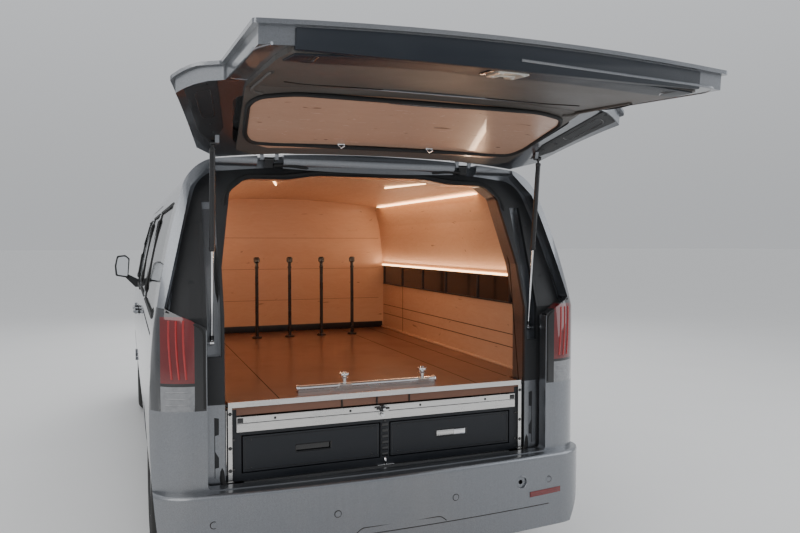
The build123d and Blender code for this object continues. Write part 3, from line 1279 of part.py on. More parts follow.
with BuildPart() as loading_tray:
    add(box(-TRAY_FRONT_HALF, TRAY_FRONT_HALF, TRAY_REAR, CASE_REAR - RUNNING_GAP, *TRAY_FRONT_Z))
    add(box(-TRAY_HALF, TRAY_HALF, CASE_REAR - RUNNING_GAP, CASE_REAR + TRAY_LENGTH, *TRAY_Z))
    with BuildSketch(Plane.XZ.offset(-TRAY_REAR)):
        with Locations((0, sum(TRAY_FRONT_Z) / 2 + 15)):
            Circle(11)
    extrude(amount=12)
save(loading_tray, "loading_tray")

with BuildPart() as rear_sill:
    add(prism_x(SILL_PROFILE, -SILL_COVER_HALF, SILL_COVER_HALF))
save(rear_sill, "rear_sill")

with BuildPart() as hinge_brackets:
    for side in (-1, 1):
        x = side * HINGE_X
        add(rod_x(KNUCKLE, x - KNUCKLE_HALF, x + KNUCKLE_HALF, HINGE_Y, HINGE_Z))
        add(prism_x(HINGE_FOOT, x - KNUCKLE_HALF, x + KNUCKLE_HALF))
    add(INNER, mode=Mode.SUBTRACT)
    for side in (-1, 1):
        x = side * HINGE_X
        add(rod_x(PIN + RUNNING_GAP, x - KNUCKLE_HALF, x + KNUCKLE_HALF, HINGE_Y, HINGE_Z),
            mode=Mode.SUBTRACT)
save(hinge_brackets, "hinge_brackets")
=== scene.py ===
"""Finishes and fine pieces of a hearse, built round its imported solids.

X runs to the vehicle's right, Y forwards and Z up, in metres, with the origin on the ground.
The tailgate's pieces are made where they lie with it shut and are then swung up with it.
"""
import logging
import math
from dataclasses import dataclass, field
from enum import Enum
from typing import Callable, Iterable, Sequence

import bmesh
import bpy
from mathutils import Matrix, Vector
from mathutils.bvhtree import BVHTree


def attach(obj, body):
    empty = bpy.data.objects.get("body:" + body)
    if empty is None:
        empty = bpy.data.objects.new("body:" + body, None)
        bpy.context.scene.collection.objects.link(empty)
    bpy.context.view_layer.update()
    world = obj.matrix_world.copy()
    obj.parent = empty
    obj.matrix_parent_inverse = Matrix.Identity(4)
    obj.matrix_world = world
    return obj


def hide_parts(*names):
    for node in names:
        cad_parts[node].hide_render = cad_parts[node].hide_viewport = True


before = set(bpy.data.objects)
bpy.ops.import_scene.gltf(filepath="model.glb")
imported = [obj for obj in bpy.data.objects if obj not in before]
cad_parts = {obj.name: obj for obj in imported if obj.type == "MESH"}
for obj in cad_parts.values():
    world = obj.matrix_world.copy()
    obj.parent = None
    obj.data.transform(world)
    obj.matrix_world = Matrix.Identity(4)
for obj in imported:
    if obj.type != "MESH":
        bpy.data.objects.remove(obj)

LOG = logging.getLogger("hearse")
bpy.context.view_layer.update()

Pair = tuple[float, float]
Triple = tuple[float, float, float]
SIDES: tuple[tuple[str, int], ...] = (("right", 1), ("left", -1))


class Effect(Enum):
    """How a finish varies over its surface."""

    FLAKE = "flake"
    MOULDED = "moulded"
    TIMBER = "timber"
    BRUSHED = "brushed"
    WOVEN = "woven"
    CAST = "cast"
    SMEARED = "smeared"


class Sockets:
    """Adds nodes and links to one node tree in few words."""

    def __init__(self, tree: bpy.types.NodeTree) -> None:
        """Take the tree that the nodes go into."""
        self.tree = tree

    def node(self, kind: str, **values: object) -> bpy.types.Node:
        """Add a node.

        Args:
            kind: Blender's name of the node's type.
            values: attributes of the node, or inputs written as i_0, i_1 or i_Name.

        Returns:
            The new node.
        """
        made = self.tree.nodes.new(kind)
        for name, value in values.items():
            if not name.startswith("i_"):
                setattr(made, name, value)
        for name, value in values.items():
            if name.startswith("i_"):
                key = name[2:].replace("_", " ")
                target = made.inputs[int(key)] if key.isdigit() else made.inputs[key]
                if isinstance(value, bpy.types.NodeSocket):
                    self.tree.links.new(value, target)
                else:
                    target.default_value = value
        return made

    def maths(self, operation: str, first: object, second: object = 0.0, clamp: bool = False
              ) -> bpy.types.NodeSocket:
        """One step of arithmetic, as a socket."""
        made = self.node("ShaderNodeMath", operation=operation, use_clamp=clamp, i_0=first, i_1=second)
        return made.outputs[0]

    def ramp(self, value: object, low: float, high: float, out_low: float = 0.0,
             out_high: float = 1.0) -> bpy.types.NodeSocket:
        """Value spread from one range to another, held at its ends."""
        made = self.node("ShaderNodeMapRange", i_0=value, i_1=low, i_2=high, i_3=out_low, i_4=out_high)
        return made.outputs[0]

    def blend(self, mask: object, first: object, second: object) -> bpy.types.NodeSocket:
        """Mix of two colours by a mask."""
        made = self.node("ShaderNodeMix", data_type="RGBA", i_0=mask, i_6=first, i_7=second)
        return made.outputs[2]

    def noise(self, vector: object, scale: object, detail: float = 3.0, rough: float = 0.55
              ) -> bpy.types.NodeSocket:
        """Grey noise over a vector."""
        made = self.node("ShaderNodeTexNoise", i_Vector=vector, i_Scale=scale, i_Detail=detail,
                         i_Roughness=rough)
        return made.outputs[0]

    def cells(self, vector: object, scale: object, feature: str = "F1") -> bpy.types.Node:
        """Cell pattern over a vector."""
        return self.node("ShaderNodeTexVoronoi", feature=feature, i_Vector=vector, i_Scale=scale)

    def bump(self, height: object, strength: object, distance: float) -> bpy.types.NodeSocket:
        """Normal of a height."""
        made = self.node("ShaderNodeBump", i_Height=height, i_Strength=strength, i_Distance=distance)
        return made.outputs[0]


class EffectGroups:
    """Shader groups that more than one finish uses, each built once."""

    def __init__(self) -> None:
        """Start with no group built."""
        self.built: dict[Effect, bpy.types.NodeTree] = {}
        self.makers: dict[Effect, Callable[[Sockets, bpy.types.Node], tuple]] = {
            Effect.FLAKE: self.flake,
            Effect.MOULDED: self.moulded,
            Effect.TIMBER: self.timber,
            Effect.BRUSHED: self.brushed,
            Effect.WOVEN: self.woven,
            Effect.CAST: self.cast,
            Effect.SMEARED: self.smeared,
        }

    def get(self, effect: Effect) -> bpy.types.NodeTree:
        """The group of an effect, built when it is first asked for."""
        if effect not in self.built:
            tree = bpy.data.node_groups.new(f"effect_{effect.value}", "ShaderNodeTree")
            for name, kind in (("Vector", "NodeSocketVector"), ("Colour", "NodeSocketColor"),
                               ("Accent", "NodeSocketColor"), ("Roughness", "NodeSocketFloat"),
                               ("Scale", "NodeSocketFloat"), ("Depth", "NodeSocketFloat")):
                tree.interface.new_socket(name=name, in_out="INPUT", socket_type=kind)
            for name, kind in (("Colour", "NodeSocketColor"), ("Roughness", "NodeSocketFloat"),
                               ("Normal", "NodeSocketVector")):
                tree.interface.new_socket(name=name, in_out="OUTPUT", socket_type=kind)
            sockets = Sockets(tree)
            source = sockets.node("NodeGroupInput")
            colour, roughness, normal = self.makers[effect](sockets, source)
            sink = sockets.node("NodeGroupOutput")
            for value, name in ((colour, "Colour"), (roughness, "Roughness"), (normal, "Normal")):
                tree.links.new(value, sink.inputs[name])
            self.built[effect] = tree
        return self.built[effect]

    @staticmethod
    def flake(s: Sockets, source: bpy.types.Node) -> tuple:
        """Metallic paint: tiny bright flakes, with a faint film of road dust in broad patches."""
        flakes = s.cells(source.outputs["Vector"], source.outputs["Scale"])
        shine = s.ramp(flakes.outputs["Color"], 0.2, 0.9)
        dust = s.noise(source.outputs["Vector"], 2.2, 6.0)
        film = s.ramp(dust, 0.45, 0.8, 0.0, 0.22)
        bright = s.blend(shine, source.outputs["Colour"], source.outputs["Accent"])
        shade = s.node("ShaderNodeRGB").outputs[0]
        shade.default_value = (0.36, 0.34, 0.31, 1)
        colour = s.blend(film, bright, shade)
        rough = s.maths("ADD", source.outputs["Roughness"], film)
        return colour, rough, s.bump(shine, source.outputs["Depth"], 0.0004)

    @staticmethod
    def moulded(s: Sockets, source: bpy.types.Node) -> tuple:
        """Moulded plastic or rubber: pebble grain, rubbed paler in broad patches."""
        pebbles = s.cells(source.outputs["Vector"], source.outputs["Scale"])
        height = s.ramp(pebbles.outputs["Distance"], 0.05, 0.7)
        patches = s.noise(source.outputs["Vector"], 3.5, 5.0)
        worn = s.ramp(patches, 0.42, 0.78, 0.0, 0.8)
        colour = s.blend(worn, source.outputs["Colour"], source.outputs["Accent"])
        rough = s.maths("ADD", source.outputs["Roughness"], s.ramp(patches, 0.3, 0.8, -0.07, 0.12))
        return colour, rough, s.bump(height, source.outputs["Depth"], 0.0006)

    @staticmethod
    def timber(s: Sockets, source: bpy.types.Node) -> tuple:
        """Wood veneer whose grain runs along the vector's X, with streaks, cracks and knots."""
        split = s.node("ShaderNodeSeparateXYZ", i_0=source.outputs["Vector"])
        along = s.maths("MULTIPLY", split.outputs[0], 0.09)
        wander = s.noise(source.outputs["Vector"], 1.6, 3.0)
        shift = s.maths("MULTIPLY", wander, 0.35)
        across = s.maths("ADD", split.outputs[1], shift)
        deep = s.maths("ADD", split.outputs[2], shift)
        lines = s.node("ShaderNodeCombineXYZ", i_0=along, i_1=across, i_2=deep).outputs[0]
        broad = s.noise(lines, s.maths("MULTIPLY", source.outputs["Scale"], 0.32), 4.0)
        fine = s.noise(lines, s.maths("MULTIPLY", source.outputs["Scale"], 5.5), 5.0, 0.7)
        knots = s.cells(lines, s.maths("MULTIPLY", source.outputs["Scale"], 0.21))
        knot = s.ramp(knots.outputs["Distance"], 0.0, 0.09, 1.0, 0.0)
        crack = s.ramp(s.noise(lines, s.maths("MULTIPLY", source.outputs["Scale"], 3.4), 1.5), 0.72,
                       0.76)
        tone = s.maths("ADD", s.ramp(broad, 0.25, 0.75, 0.0, 0.6), s.ramp(fine, 0.3, 0.75, 0.0, 0.4))
        base = s.blend(tone, source.outputs["Colour"], source.outputs["Accent"])
        dark = s.node("ShaderNodeRGB").outputs[0]
        dark.default_value = (0.06, 0.022, 0.01, 1)
        marks = s.maths("MULTIPLY", s.maths("MAXIMUM", knot, crack), 0.6)
        colour = s.blend(marks, base, dark)
        rough = s.maths("ADD", source.outputs["Roughness"], s.ramp(fine, 0.3, 0.7, -0.05, 0.1))
        return colour, rough, s.bump(fine, source.outputs["Depth"], 0.0004)

    @staticmethod
    def brushed(s: Sockets, source: bpy.types.Node) -> tuple:
        """Metal brushed along the vector's X, with a few finger marks."""
        split = s.node("ShaderNodeSeparateXYZ", i_0=source.outputs["Vector"])
        along = s.maths("MULTIPLY", split.outputs[0], 0.02)
        lines = s.node("ShaderNodeCombineXYZ", i_0=along, i_1=split.outputs[1],
                       i_2=split.outputs[2]).outputs[0]
        fine = s.noise(lines, source.outputs["Scale"], 4.0, 0.7)
        marks = s.noise(source.outputs["Vector"], 9.0, 4.0)
        colour = s.blend(s.ramp(fine, 0.3, 0.75), source.outputs["Colour"], source.outputs["Accent"])
        rough = s.maths("ADD", source.outputs["Roughness"], s.ramp(marks, 0.4, 0.75, -0.04, 0.14))
        return colour, rough, s.bump(fine, source.outputs["Depth"], 0.0002)

    @staticmethod
    def woven(s: Sockets, source: bpy.types.Node) -> tuple:
        """Cloth: crossed threads with soft fuzz and slubs."""
        waves = []
        for direction in ("X", "Y", "Z"):
            wave = s.node("ShaderNodeTexWave", bands_direction=direction, i_Scale=source.outputs["Scale"],
                          i_Vector=source.outputs["Vector"], i_Distortion=1.5)
            waves.append(wave.outputs["Fac"])
        weave = s.maths("MULTIPLY", s.maths("ADD", waves[0], waves[1]), waves[2])
        slubs = s.noise(source.outputs["Vector"], 60.0, 3.0)
        mask = s.maths("ADD", s.maths("MULTIPLY", weave, 0.35), s.ramp(slubs, 0.4, 0.75, 0.0, 0.5))
        colour = s.blend(mask, source.outputs["Colour"], source.outputs["Accent"])
        rough = s.maths("ADD", source.outputs["Roughness"], s.ramp(slubs, 0.3, 0.7, -0.05, 0.05))
        return colour, rough, s.bump(weave, source.outputs["Depth"], 0.0008)

    @staticmethod
    def cast(s: Sockets, source: bpy.types.Node) -> tuple:
        """Cast or enamelled metal: orange peel with greasy and rusty patches."""
        peel = s.noise(source.outputs["Vector"], source.outputs["Scale"], 3.0)
        patches = s.noise(source.outputs["Vector"], 5.0, 6.0, 0.65)
        mask = s.ramp(patches, 0.45, 0.75)
        colour = s.blend(mask, source.outputs["Colour"], source.outputs["Accent"])
        rough = s.maths("ADD", source.outputs["Roughness"], s.ramp(patches, 0.3, 0.8, -0.1, 0.15))
        return colour, rough, s.bump(peel, source.outputs["Depth"], 0.001)

    @staticmethod
    def smeared(s: Sockets, source: bpy.types.Node) -> tuple:
        """Glass or lacquer: almost even, with wiped streaks that only show in reflections."""
        streaks = s.noise(source.outputs["Vector"], source.outputs["Scale"], 5.0)
        mask = s.ramp(streaks, 0.35, 0.8)
        colour = s.blend(mask, source.outputs["Colour"], source.outputs["Accent"])
        rough = s.maths("ADD", source.outputs["Roughness"], s.ramp(streaks, 0.45, 0.8, 0.0, 0.06))
        return colour, rough, s.bump(streaks, source.outputs["Depth"], 0.0002)


GROUPS = EffectGroups()


@dataclass(frozen=True)
class Finish:
    """One surface finish and the record's slot that it belongs to.

    colour and accent are the two ends of its variation; scale is its effect's size and
    depth its relief; turned gives a full turn of the pattern in degrees about each axis.
    """

    name: str
    slot: str
    effect: Effect
    colour: Triple
    accent: Triple
    roughness: float
    scale: float
    depth: float = 0.2
    metallic: float = 0.0
    coat: float = 0.0
    transmission: float = 0.0
    alpha: float = 1.0
    glow: float = 0.0
    sheen: float = 0.0
    specular: float = 0.5
    ior: float = 1.45
    turned: Triple = (0.0, 0.0, 0.0)

    def material(self) -> bpy.types.Material:
        """The material, made on first use."""
        ready = bpy.data.materials.get(f"finish_{self.name}")
        if ready:
            return ready
        made = bpy.data.materials.new(f"finish_{self.name}")
        made.use_nodes = True
        tree = made.node_tree
        tree.nodes.clear()
        s = Sockets(tree)
        place = s.node("ShaderNodeTexCoord").outputs["Object"]
        turn = tuple(math.radians(angle) for angle in self.turned)
        vector = s.node("ShaderNodeMapping", i_Vector=place, i_Rotation=turn).outputs[0]
        group = s.node("ShaderNodeGroup", node_tree=GROUPS.get(self.effect), i_Vector=vector,
                       i_Colour=(*self.colour, 1), i_Accent=(*self.accent, 1),
                       i_Roughness=self.roughness, i_Scale=self.scale, i_Depth=self.depth)
        shader = s.node("ShaderNodeBsdfPrincipled", i_Metallic=self.metallic, i_IOR=self.ior,
                        i_Alpha=self.alpha)
        for name, value in (("Coat Weight", self.coat), ("Transmission Weight", self.transmission),
                            ("Sheen Weight", self.sheen), ("Emission Strength", self.glow),
                            ("Specular IOR Level", self.specular), ("Coat Roughness", 0.04)):
            shader.inputs[name].default_value = value
        tree.links.new(group.outputs["Colour"], shader.inputs["Base Color"])
        tree.links.new(group.outputs["Roughness"], shader.inputs["Roughness"])
        tree.links.new(group.outputs["Normal"], shader.inputs["Normal"])
        if self.glow:
            tree.links.new(group.outputs["Colour"], shader.inputs["Emission Color"])
        out = s.node("ShaderNodeOutputMaterial")
        tree.links.new(shader.outputs[0], out.inputs["Surface"])
        if self.alpha < 1.0 or self.transmission:
            made.surface_render_method = "BLENDED"
        made.diffuse_color = (*self.colour, self.alpha)
        return made


@dataclass(frozen=True)
class Palette:
    """Every finish of the hearse."""

    paint: Finish = Finish("silver_paint", "silver_paint", Effect.FLAKE, (0.160, 0.170, 0.186),
                           (0.245, 0.258, 0.280), 0.30, 900, 0.05, metallic=0.9, coat=1.0)
    plastic: Finish = Finish("black_plastic", "black_plastic", Effect.MOULDED, (0.014, 0.015, 0.017),
                             (0.028, 0.029, 0.031), 0.5, 1400, 0.35)
    gloss: Finish = Finish("black_gloss", "black_gloss", Effect.SMEARED, (0.008, 0.008, 0.009),
                           (0.014, 0.014, 0.015), 0.12, 6, 0.02, coat=0.6)
    rubber: Finish = Finish("seal_rubber", "black_plastic", Effect.MOULDED, (0.01, 0.01, 0.01),
                            (0.02, 0.02, 0.021), 0.62, 700, 0.25)
    tyre: Finish = Finish("tyre_rubber", "tyre", Effect.MOULDED, (0.016, 0.016, 0.016),
                          (0.035, 0.033, 0.03), 0.78, 500, 0.5)
    alloy: Finish = Finish("wheel_alloy", "alloy", Effect.CAST, (0.5, 0.51, 0.53), (0.36, 0.36, 0.37),
                           0.3, 300, 0.08, metallic=0.95, coat=0.5)
    disc: Finish = Finish("disc_steel", "alloy", Effect.BRUSHED, (0.42, 0.41, 0.4), (0.24, 0.22, 0.2),
                          0.36, 300, 0.3, metallic=1.0)
    stainless: Finish = Finish("stainless", "stainless", Effect.BRUSHED, (0.74, 0.73, 0.71),
                               (0.6, 0.59, 0.58), 0.22, 420, 0.2, metallic=1.0)
    bright: Finish = Finish("bright_rod", "bright_rod", Effect.BRUSHED, (0.85, 0.85, 0.86),
                            (0.74, 0.74, 0.76), 0.1, 300, 0.05, metallic=1.0)
    zinc: Finish = Finish("zinc_plate", "stainless", Effect.CAST, (0.72, 0.71, 0.66),
                          (0.55, 0.53, 0.48), 0.34, 160, 0.15, metallic=1.0)
    enamel: Finish = Finish("black_enamel", "strut_black", Effect.CAST, (0.012, 0.012, 0.013),
                            (0.02, 0.02, 0.021), 0.28, 260, 0.05, coat=0.3)
    chassis: Finish = Finish("chassis_black", "frame_black", Effect.CAST, (0.025, 0.025, 0.027),
                             (0.06, 0.045, 0.035), 0.6, 220, 0.3)
    iron: Finish = Finish("cast_iron", "iron", Effect.CAST, (0.11, 0.105, 0.1), (0.16, 0.09, 0.06),
                          0.62, 260, 0.5, metallic=0.7)
    taupe: Finish = Finish("taupe_trim", "taupe_trim", Effect.MOULDED, (0.085, 0.076, 0.069),
                           (0.11, 0.099, 0.089), 0.42, 1500, 0.15)
    oak_along: Finish = Finish("oak_along", "oak_panel", Effect.TIMBER, (0.60, 0.37, 0.24),
                               (0.49, 0.275, 0.165), 0.38, 14, 0.12, coat=0.1, turned=(0, 0, 90))
    oak_across: Finish = Finish("oak_across", "oak_panel", Effect.TIMBER, (0.60, 0.37, 0.24),
                                (0.49, 0.275, 0.165), 0.38, 14, 0.12, coat=0.1)
    oak_gloss: Finish = Finish("oak_gloss", "oak_panel", Effect.TIMBER, (0.57, 0.37, 0.27),
                               (0.45, 0.265, 0.185), 0.2, 15, 0.06, coat=0.6)
    deck: Finish = Finish("deck_laminate", "deck_board", Effect.SMEARED, (0.165, 0.072, 0.043),
                          (0.14, 0.061, 0.037), 0.28, 5, 0.004, coat=0.15)
    # Dark joints, and also the painted shade of the tailgate lining's crease.
    groove: Finish = Finish("joint_dark_and_crease_shade", "black_board", Effect.MOULDED, (0.012, 0.008, 0.006),
                            (0.022, 0.014, 0.01), 0.7, 900, 0.1)
    navy: Finish = Finish("blue_black_trim", "black_plastic", Effect.MOULDED, (0.007, 0.011, 0.018),
                          (0.013, 0.018, 0.027), 0.42, 1500, 0.2)
    board: Finish = Finish("black_board", "black_board", Effect.MOULDED, (0.011, 0.013, 0.017),
                           (0.019, 0.021, 0.026), 0.38, 900, 0.1)
    glass_dark: Finish = Finish("glass_dark", "glass_dark", Effect.SMEARED, (0.01, 0.012, 0.013),
                                (0.014, 0.016, 0.017), 0.03, 4, 0.01, alpha=0.86, coat=0.3)
    glass_clear: Finish = Finish("glass_clear", "glass_clear", Effect.SMEARED, (0.12, 0.16, 0.155),
                                 (0.14, 0.18, 0.175), 0.02, 4, 0.01, alpha=0.28, coat=0.3)
    lens_red: Finish = Finish("lens_red", "glass_red", Effect.SMEARED, (0.150, 0.006, 0.008),
                              (0.105, 0.005, 0.006), 0.08, 8, 0.02, coat=1.0)
    lens_clear: Finish = Finish("lens_clear", "glass_lamp", Effect.SMEARED, (0.55, 0.57, 0.6),
                                (0.5, 0.52, 0.55), 0.05, 5, 0.02, alpha=0.35, coat=0.6)
    lens_bar: Finish = Finish("lens_bar", "glass_red", Effect.SMEARED, (0.36, 0.015, 0.015),
                              (0.28, 0.01, 0.01), 0.1, 30, 0.02, coat=1.0, glow=0.05)
    lens_smoke: Finish = Finish("lens_smoke", "glass_lamp", Effect.SMEARED, (0.026, 0.028, 0.032),
                                (0.038, 0.041, 0.046), 0.06, 9, 0.02, coat=1.0)
    lens_amber: Finish = Finish("lens_amber", "glass_lamp", Effect.SMEARED, (0.7, 0.2, 0.02),
                                (0.6, 0.16, 0.015), 0.12, 40, 0.05, coat=1.0)
    ring_blue: Finish = Finish("blue_ring", "glass_lamp", Effect.SMEARED, (0.05, 0.25, 0.7),
                               (0.04, 0.2, 0.6), 0.3, 40, 0.05, glow=0.5)
    lens_white: Finish = Finish("lens_white", "glass_red", Effect.SMEARED, (0.22, 0.225, 0.235),
                                (0.16, 0.165, 0.175), 0.1, 40, 0.1, coat=1.0)
    mirror: Finish = Finish("mirror_glass", "bright_rod", Effect.SMEARED, (0.86, 0.88, 0.9),
                            (0.82, 0.84, 0.86), 0.02, 4, 0.0, metallic=1.0)
    cloth: Finish = Finish("seat_cloth", "seat_cloth", Effect.WOVEN, (0.022, 0.023, 0.026),
                           (0.055, 0.056, 0.06), 0.85, 260, 0.4, sheen=0.3)
    strip: Finish = Finish("light_strip", "glass_lamp", Effect.SMEARED, (1.0, 0.60, 0.30),
                           (1.0, 0.64, 0.34), 0.4, 20, 0.0, glow=7.0)
    plate: Finish = Finish("blank_plate", "stainless", Effect.SMEARED, (0.72, 0.72, 0.71),
                           (0.66, 0.66, 0.65), 0.3, 30, 0.03)
    floor: Finish = Finish("studio_floor", "stainless", Effect.SMEARED, (0.74, 0.74, 0.735),
                           (0.725, 0.725, 0.72), 0.75, 1.5, 0.02)


INK = Palette()
NODE_FINISHES: dict[str, Finish] = {
    "roof_panel": INK.paint, "windscreen": INK.glass_clear, "cowl_panel": INK.plastic,
    "hood": INK.paint, "front_fenders": INK.paint, "front_bumper": INK.paint,
    "headlamps": INK.lens_clear, "grille": INK.gloss, "side_panels": INK.paint,
    "sliding_doors": INK.paint, "side_windows": INK.glass_dark, "rear_bumper": INK.paint,
    "tail_lamps": INK.lens_red, "pillar_covers": INK.plastic, "rear_frame": INK.paint,
    "tailgate": INK.paint, "tailgate_glass": INK.glass_dark, "tailgate_lining": INK.taupe,
    "tailgate_wood": INK.oak_gloss, "door_left": INK.paint, "door_right": INK.paint,
    "door_glass_left": INK.glass_clear, "door_glass_right": INK.glass_clear,
    "mirror_left": INK.plastic, "mirror_right": INK.plastic,
    "strut_cylinder_left": INK.enamel, "strut_cylinder_right": INK.enamel,
    "strut_rod_left": INK.bright, "strut_rod_right": INK.bright, "knuckle_left": INK.iron,
    "knuckle_right": INK.iron, "front_subframe": INK.chassis, "engine_block": INK.iron,
    "rear_axle": INK.iron, "wheelhouses": INK.plastic, "floor_pan": INK.chassis,
    "dashboard": INK.plastic, "steering_wheel": INK.plastic, "cab_seats": INK.cloth,
    "side_linings": INK.oak_along, "ceiling_lining": INK.oak_along, "partition": INK.oak_across,
    "load_deck": INK.deck, "deck_rails": INK.stainless, "stop_posts": INK.enamel,
    "drawer_case": INK.board, "drawer_left": INK.board, "drawer_right": INK.board,
    "loading_tray": INK.stainless, "rear_sill": INK.plastic, "hinge_brackets": INK.enamel,
    "exhaust": INK.iron,
    **{f"{part}_{place}_{side}": finish for place in ("front", "rear") for side in ("left", "right")
       for part, finish in (("tyre", INK.tyre), ("rim", INK.alloy))},
}


class Axis(Enum):
    """Axis that an outline's plane faces; its value is the index of that axis."""

    X = 0
    Y = 1
    Z = 2

    def place(self, first: float, second: float, depth: float) -> Vector:
        """Point from two places in the plane and a depth along the axis."""
        spots = [first, second]
        spots.insert(self.value, depth)
        return Vector(spots)


def mirrored(points: Sequence[Pair]) -> list[Pair]:
    """Whole outline from its right half."""
    return list(points) + [(-x, z) for x, z in reversed(points)]


class Shape:
    """A mesh that grows by operators and ends as one piece."""

    def __init__(self) -> None:
        """Start with an empty mesh."""
        self.bm = bmesh.new()
        self.bm.faces.layers.int.new("done")

    @classmethod
    def of(cls, node: str) -> "Shape":
        """Start from a merged copy of a solid's mesh."""
        made = cls()
        made.bm.from_mesh(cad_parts[node].data)
        bmesh.ops.remove_doubles(made.bm, verts=made.bm.verts[:], dist=1e-5)
        if "done" not in made.bm.faces.layers.int:
            made.bm.faces.layers.int.new("done")
        return made

    def cut(self, place: Triple, normal: Triple) -> None:
        """Split every face that a plane crosses."""
        geom = self.bm.verts[:] + self.bm.edges[:] + self.bm.faces[:]
        bmesh.ops.bisect_plane(self.bm, geom=geom, dist=1e-6, plane_co=place, plane_no=normal)

    def tint(self, chosen: Callable[[Vector], bool], finish: int) -> None:
        """Give a finish to the faces whose middle passes a test."""
        for face in self.bm.faces:
            if chosen(face.calc_center_median()):
                face.material_index = finish

    def begin(self) -> None:
        """Mark the faces that are there, so that new ones can be told apart."""
        done = self.bm.faces.layers.int["done"]
        for face in self.bm.faces:
            face[done] = 1

    def fresh(self) -> list[bmesh.types.BMFace]:
        """Faces made since the last mark."""
        done = self.bm.faces.layers.int["done"]
        return [face for face in self.bm.faces if not face[done]]

    def end(self, finish: int) -> list[bmesh.types.BMFace]:
        """Give the new faces their place in the piece's list of finishes."""
        made = self.fresh()
        for face in made:
            face.material_index = finish
        return made

    def soften(self, verts: Iterable[bmesh.types.BMVert], width: float, segments: int = 2) -> None:
        """Round the edges between some vertices."""
        chosen = {vert for vert in verts if vert.is_valid}
        edges = [edge for edge in self.bm.edges if edge.verts[0] in chosen and edge.verts[1] in chosen]
        bmesh.ops.bevel(self.bm, geom=edges, offset=width, offset_type="OFFSET", affect="EDGES",
                        segments=segments, profile=0.5, material=-1, clamp_overlap=True)

    def block(self, low: Triple, high: Triple, edge: float = 0.0, finish: int = 0) -> None:
        """Box between two corners, with softened edges."""
        self.begin()
        size = [b - a for a, b in zip(low, high)]
        middle = [(a + b) / 2 for a, b in zip(low, high)]
        made = bmesh.ops.create_cube(self.bm, size=1.0)["verts"]
        bmesh.ops.scale(self.bm, vec=size, verts=made)
        bmesh.ops.translate(self.bm, vec=middle, verts=made)
        if edge:
            self.soften(made, edge)
        self.end(finish)

    def bar(self, start: Triple, stop: Triple, radius: float, sides: int = 20, finish: int = 0,
            tip: float | None = None, edge: float = 0.0) -> None:
        """Round bar between two points, tapered where tip is given."""
        self.begin()
        line = Vector(stop) - Vector(start)
        turn = Vector((0, 0, 1)).rotation_difference(line).to_matrix().to_4x4()
        middle = (Vector(start) + Vector(stop)) / 2
        made = bmesh.ops.create_cone(
            self.bm, cap_ends=True, cap_tris=False, segments=sides, radius1=radius,
            radius2=radius if tip is None else tip, depth=line.length,
            matrix=Matrix.Translation(middle) @ turn)["verts"]
        if edge:
            rims = {vert for vert in made}
            edges = [e for e in self.bm.edges if e.verts[0] in rims and e.verts[1] in rims
                     and any(len(f.verts) > 4 for f in e.link_faces)]
            bmesh.ops.bevel(self.bm, geom=edges, offset=edge, offset_type="OFFSET", affect="EDGES",
                            segments=2, profile=0.5, material=-1, clamp_overlap=True)
        self.end(finish)

    def lathe(self, profile: Sequence[Pair], centre: Triple, axis: Triple, steps: int = 48,
              finish: int = 0) -> None:
        """Turned form: profile is pairs of distance along the axis and radius."""
        self.begin()
        along = Vector(axis).normalized()
        side = along.orthogonal().normalized()
        middle = Vector(centre)
        verts = [self.bm.verts.new(middle + along * a + side * r) for a, r in profile]
        edges = [self.bm.edges.new(pair) for pair in zip(verts, verts[1:])]
        bmesh.ops.spin(self.bm, geom=verts + edges, cent=middle, axis=along, angle=math.tau,
                       steps=steps, use_merge=True, use_duplicate=False)
        bmesh.ops.remove_doubles(self.bm, verts=[v for v in self.bm.verts], dist=1e-6)
        bmesh.ops.recalc_face_normals(self.bm, faces=self.end(finish))

    def prism(self, outline: Sequence[Pair], axis: Axis, near: float, far: float,
              edge: float = 0.0, finish: int = 0, corner: float = 0.0) -> None:
        """Outline pushed along an axis, with rounded corners and softened edges."""
        self.begin()
        verts = [self.bm.verts.new(axis.place(a, b, near)) for a, b in outline]
        if corner:
            self.bm.faces.new(verts)
            bmesh.ops.bevel(self.bm, geom=verts, offset=corner, offset_type="OFFSET",
                            affect="VERTICES", segments=4, profile=0.5, material=-1,
                            clamp_overlap=True)
            fresh = self.fresh()
        else:
            fresh = [self.bm.faces.new(verts)]
        shift = axis.place(0, 0, far - near)
        out = bmesh.ops.extrude_face_region(self.bm, geom=fresh, use_keep_orig=True)["geom"]
        moved = [item for item in out if isinstance(item, bmesh.types.BMVert)]
        bmesh.ops.translate(self.bm, vec=shift, verts=moved)
        fresh = self.fresh()
        bmesh.ops.recalc_face_normals(self.bm, faces=fresh)
        if edge:
            rims = [e for e in {e for f in fresh for e in f.edges}
                    if e.is_manifold and e.calc_face_angle(0.0) > 0.6]
            bmesh.ops.bevel(self.bm, geom=rims, offset=edge, offset_type="OFFSET", affect="EDGES",
                            segments=2, profile=0.5, material=-1, clamp_overlap=True)
        self.end(finish)

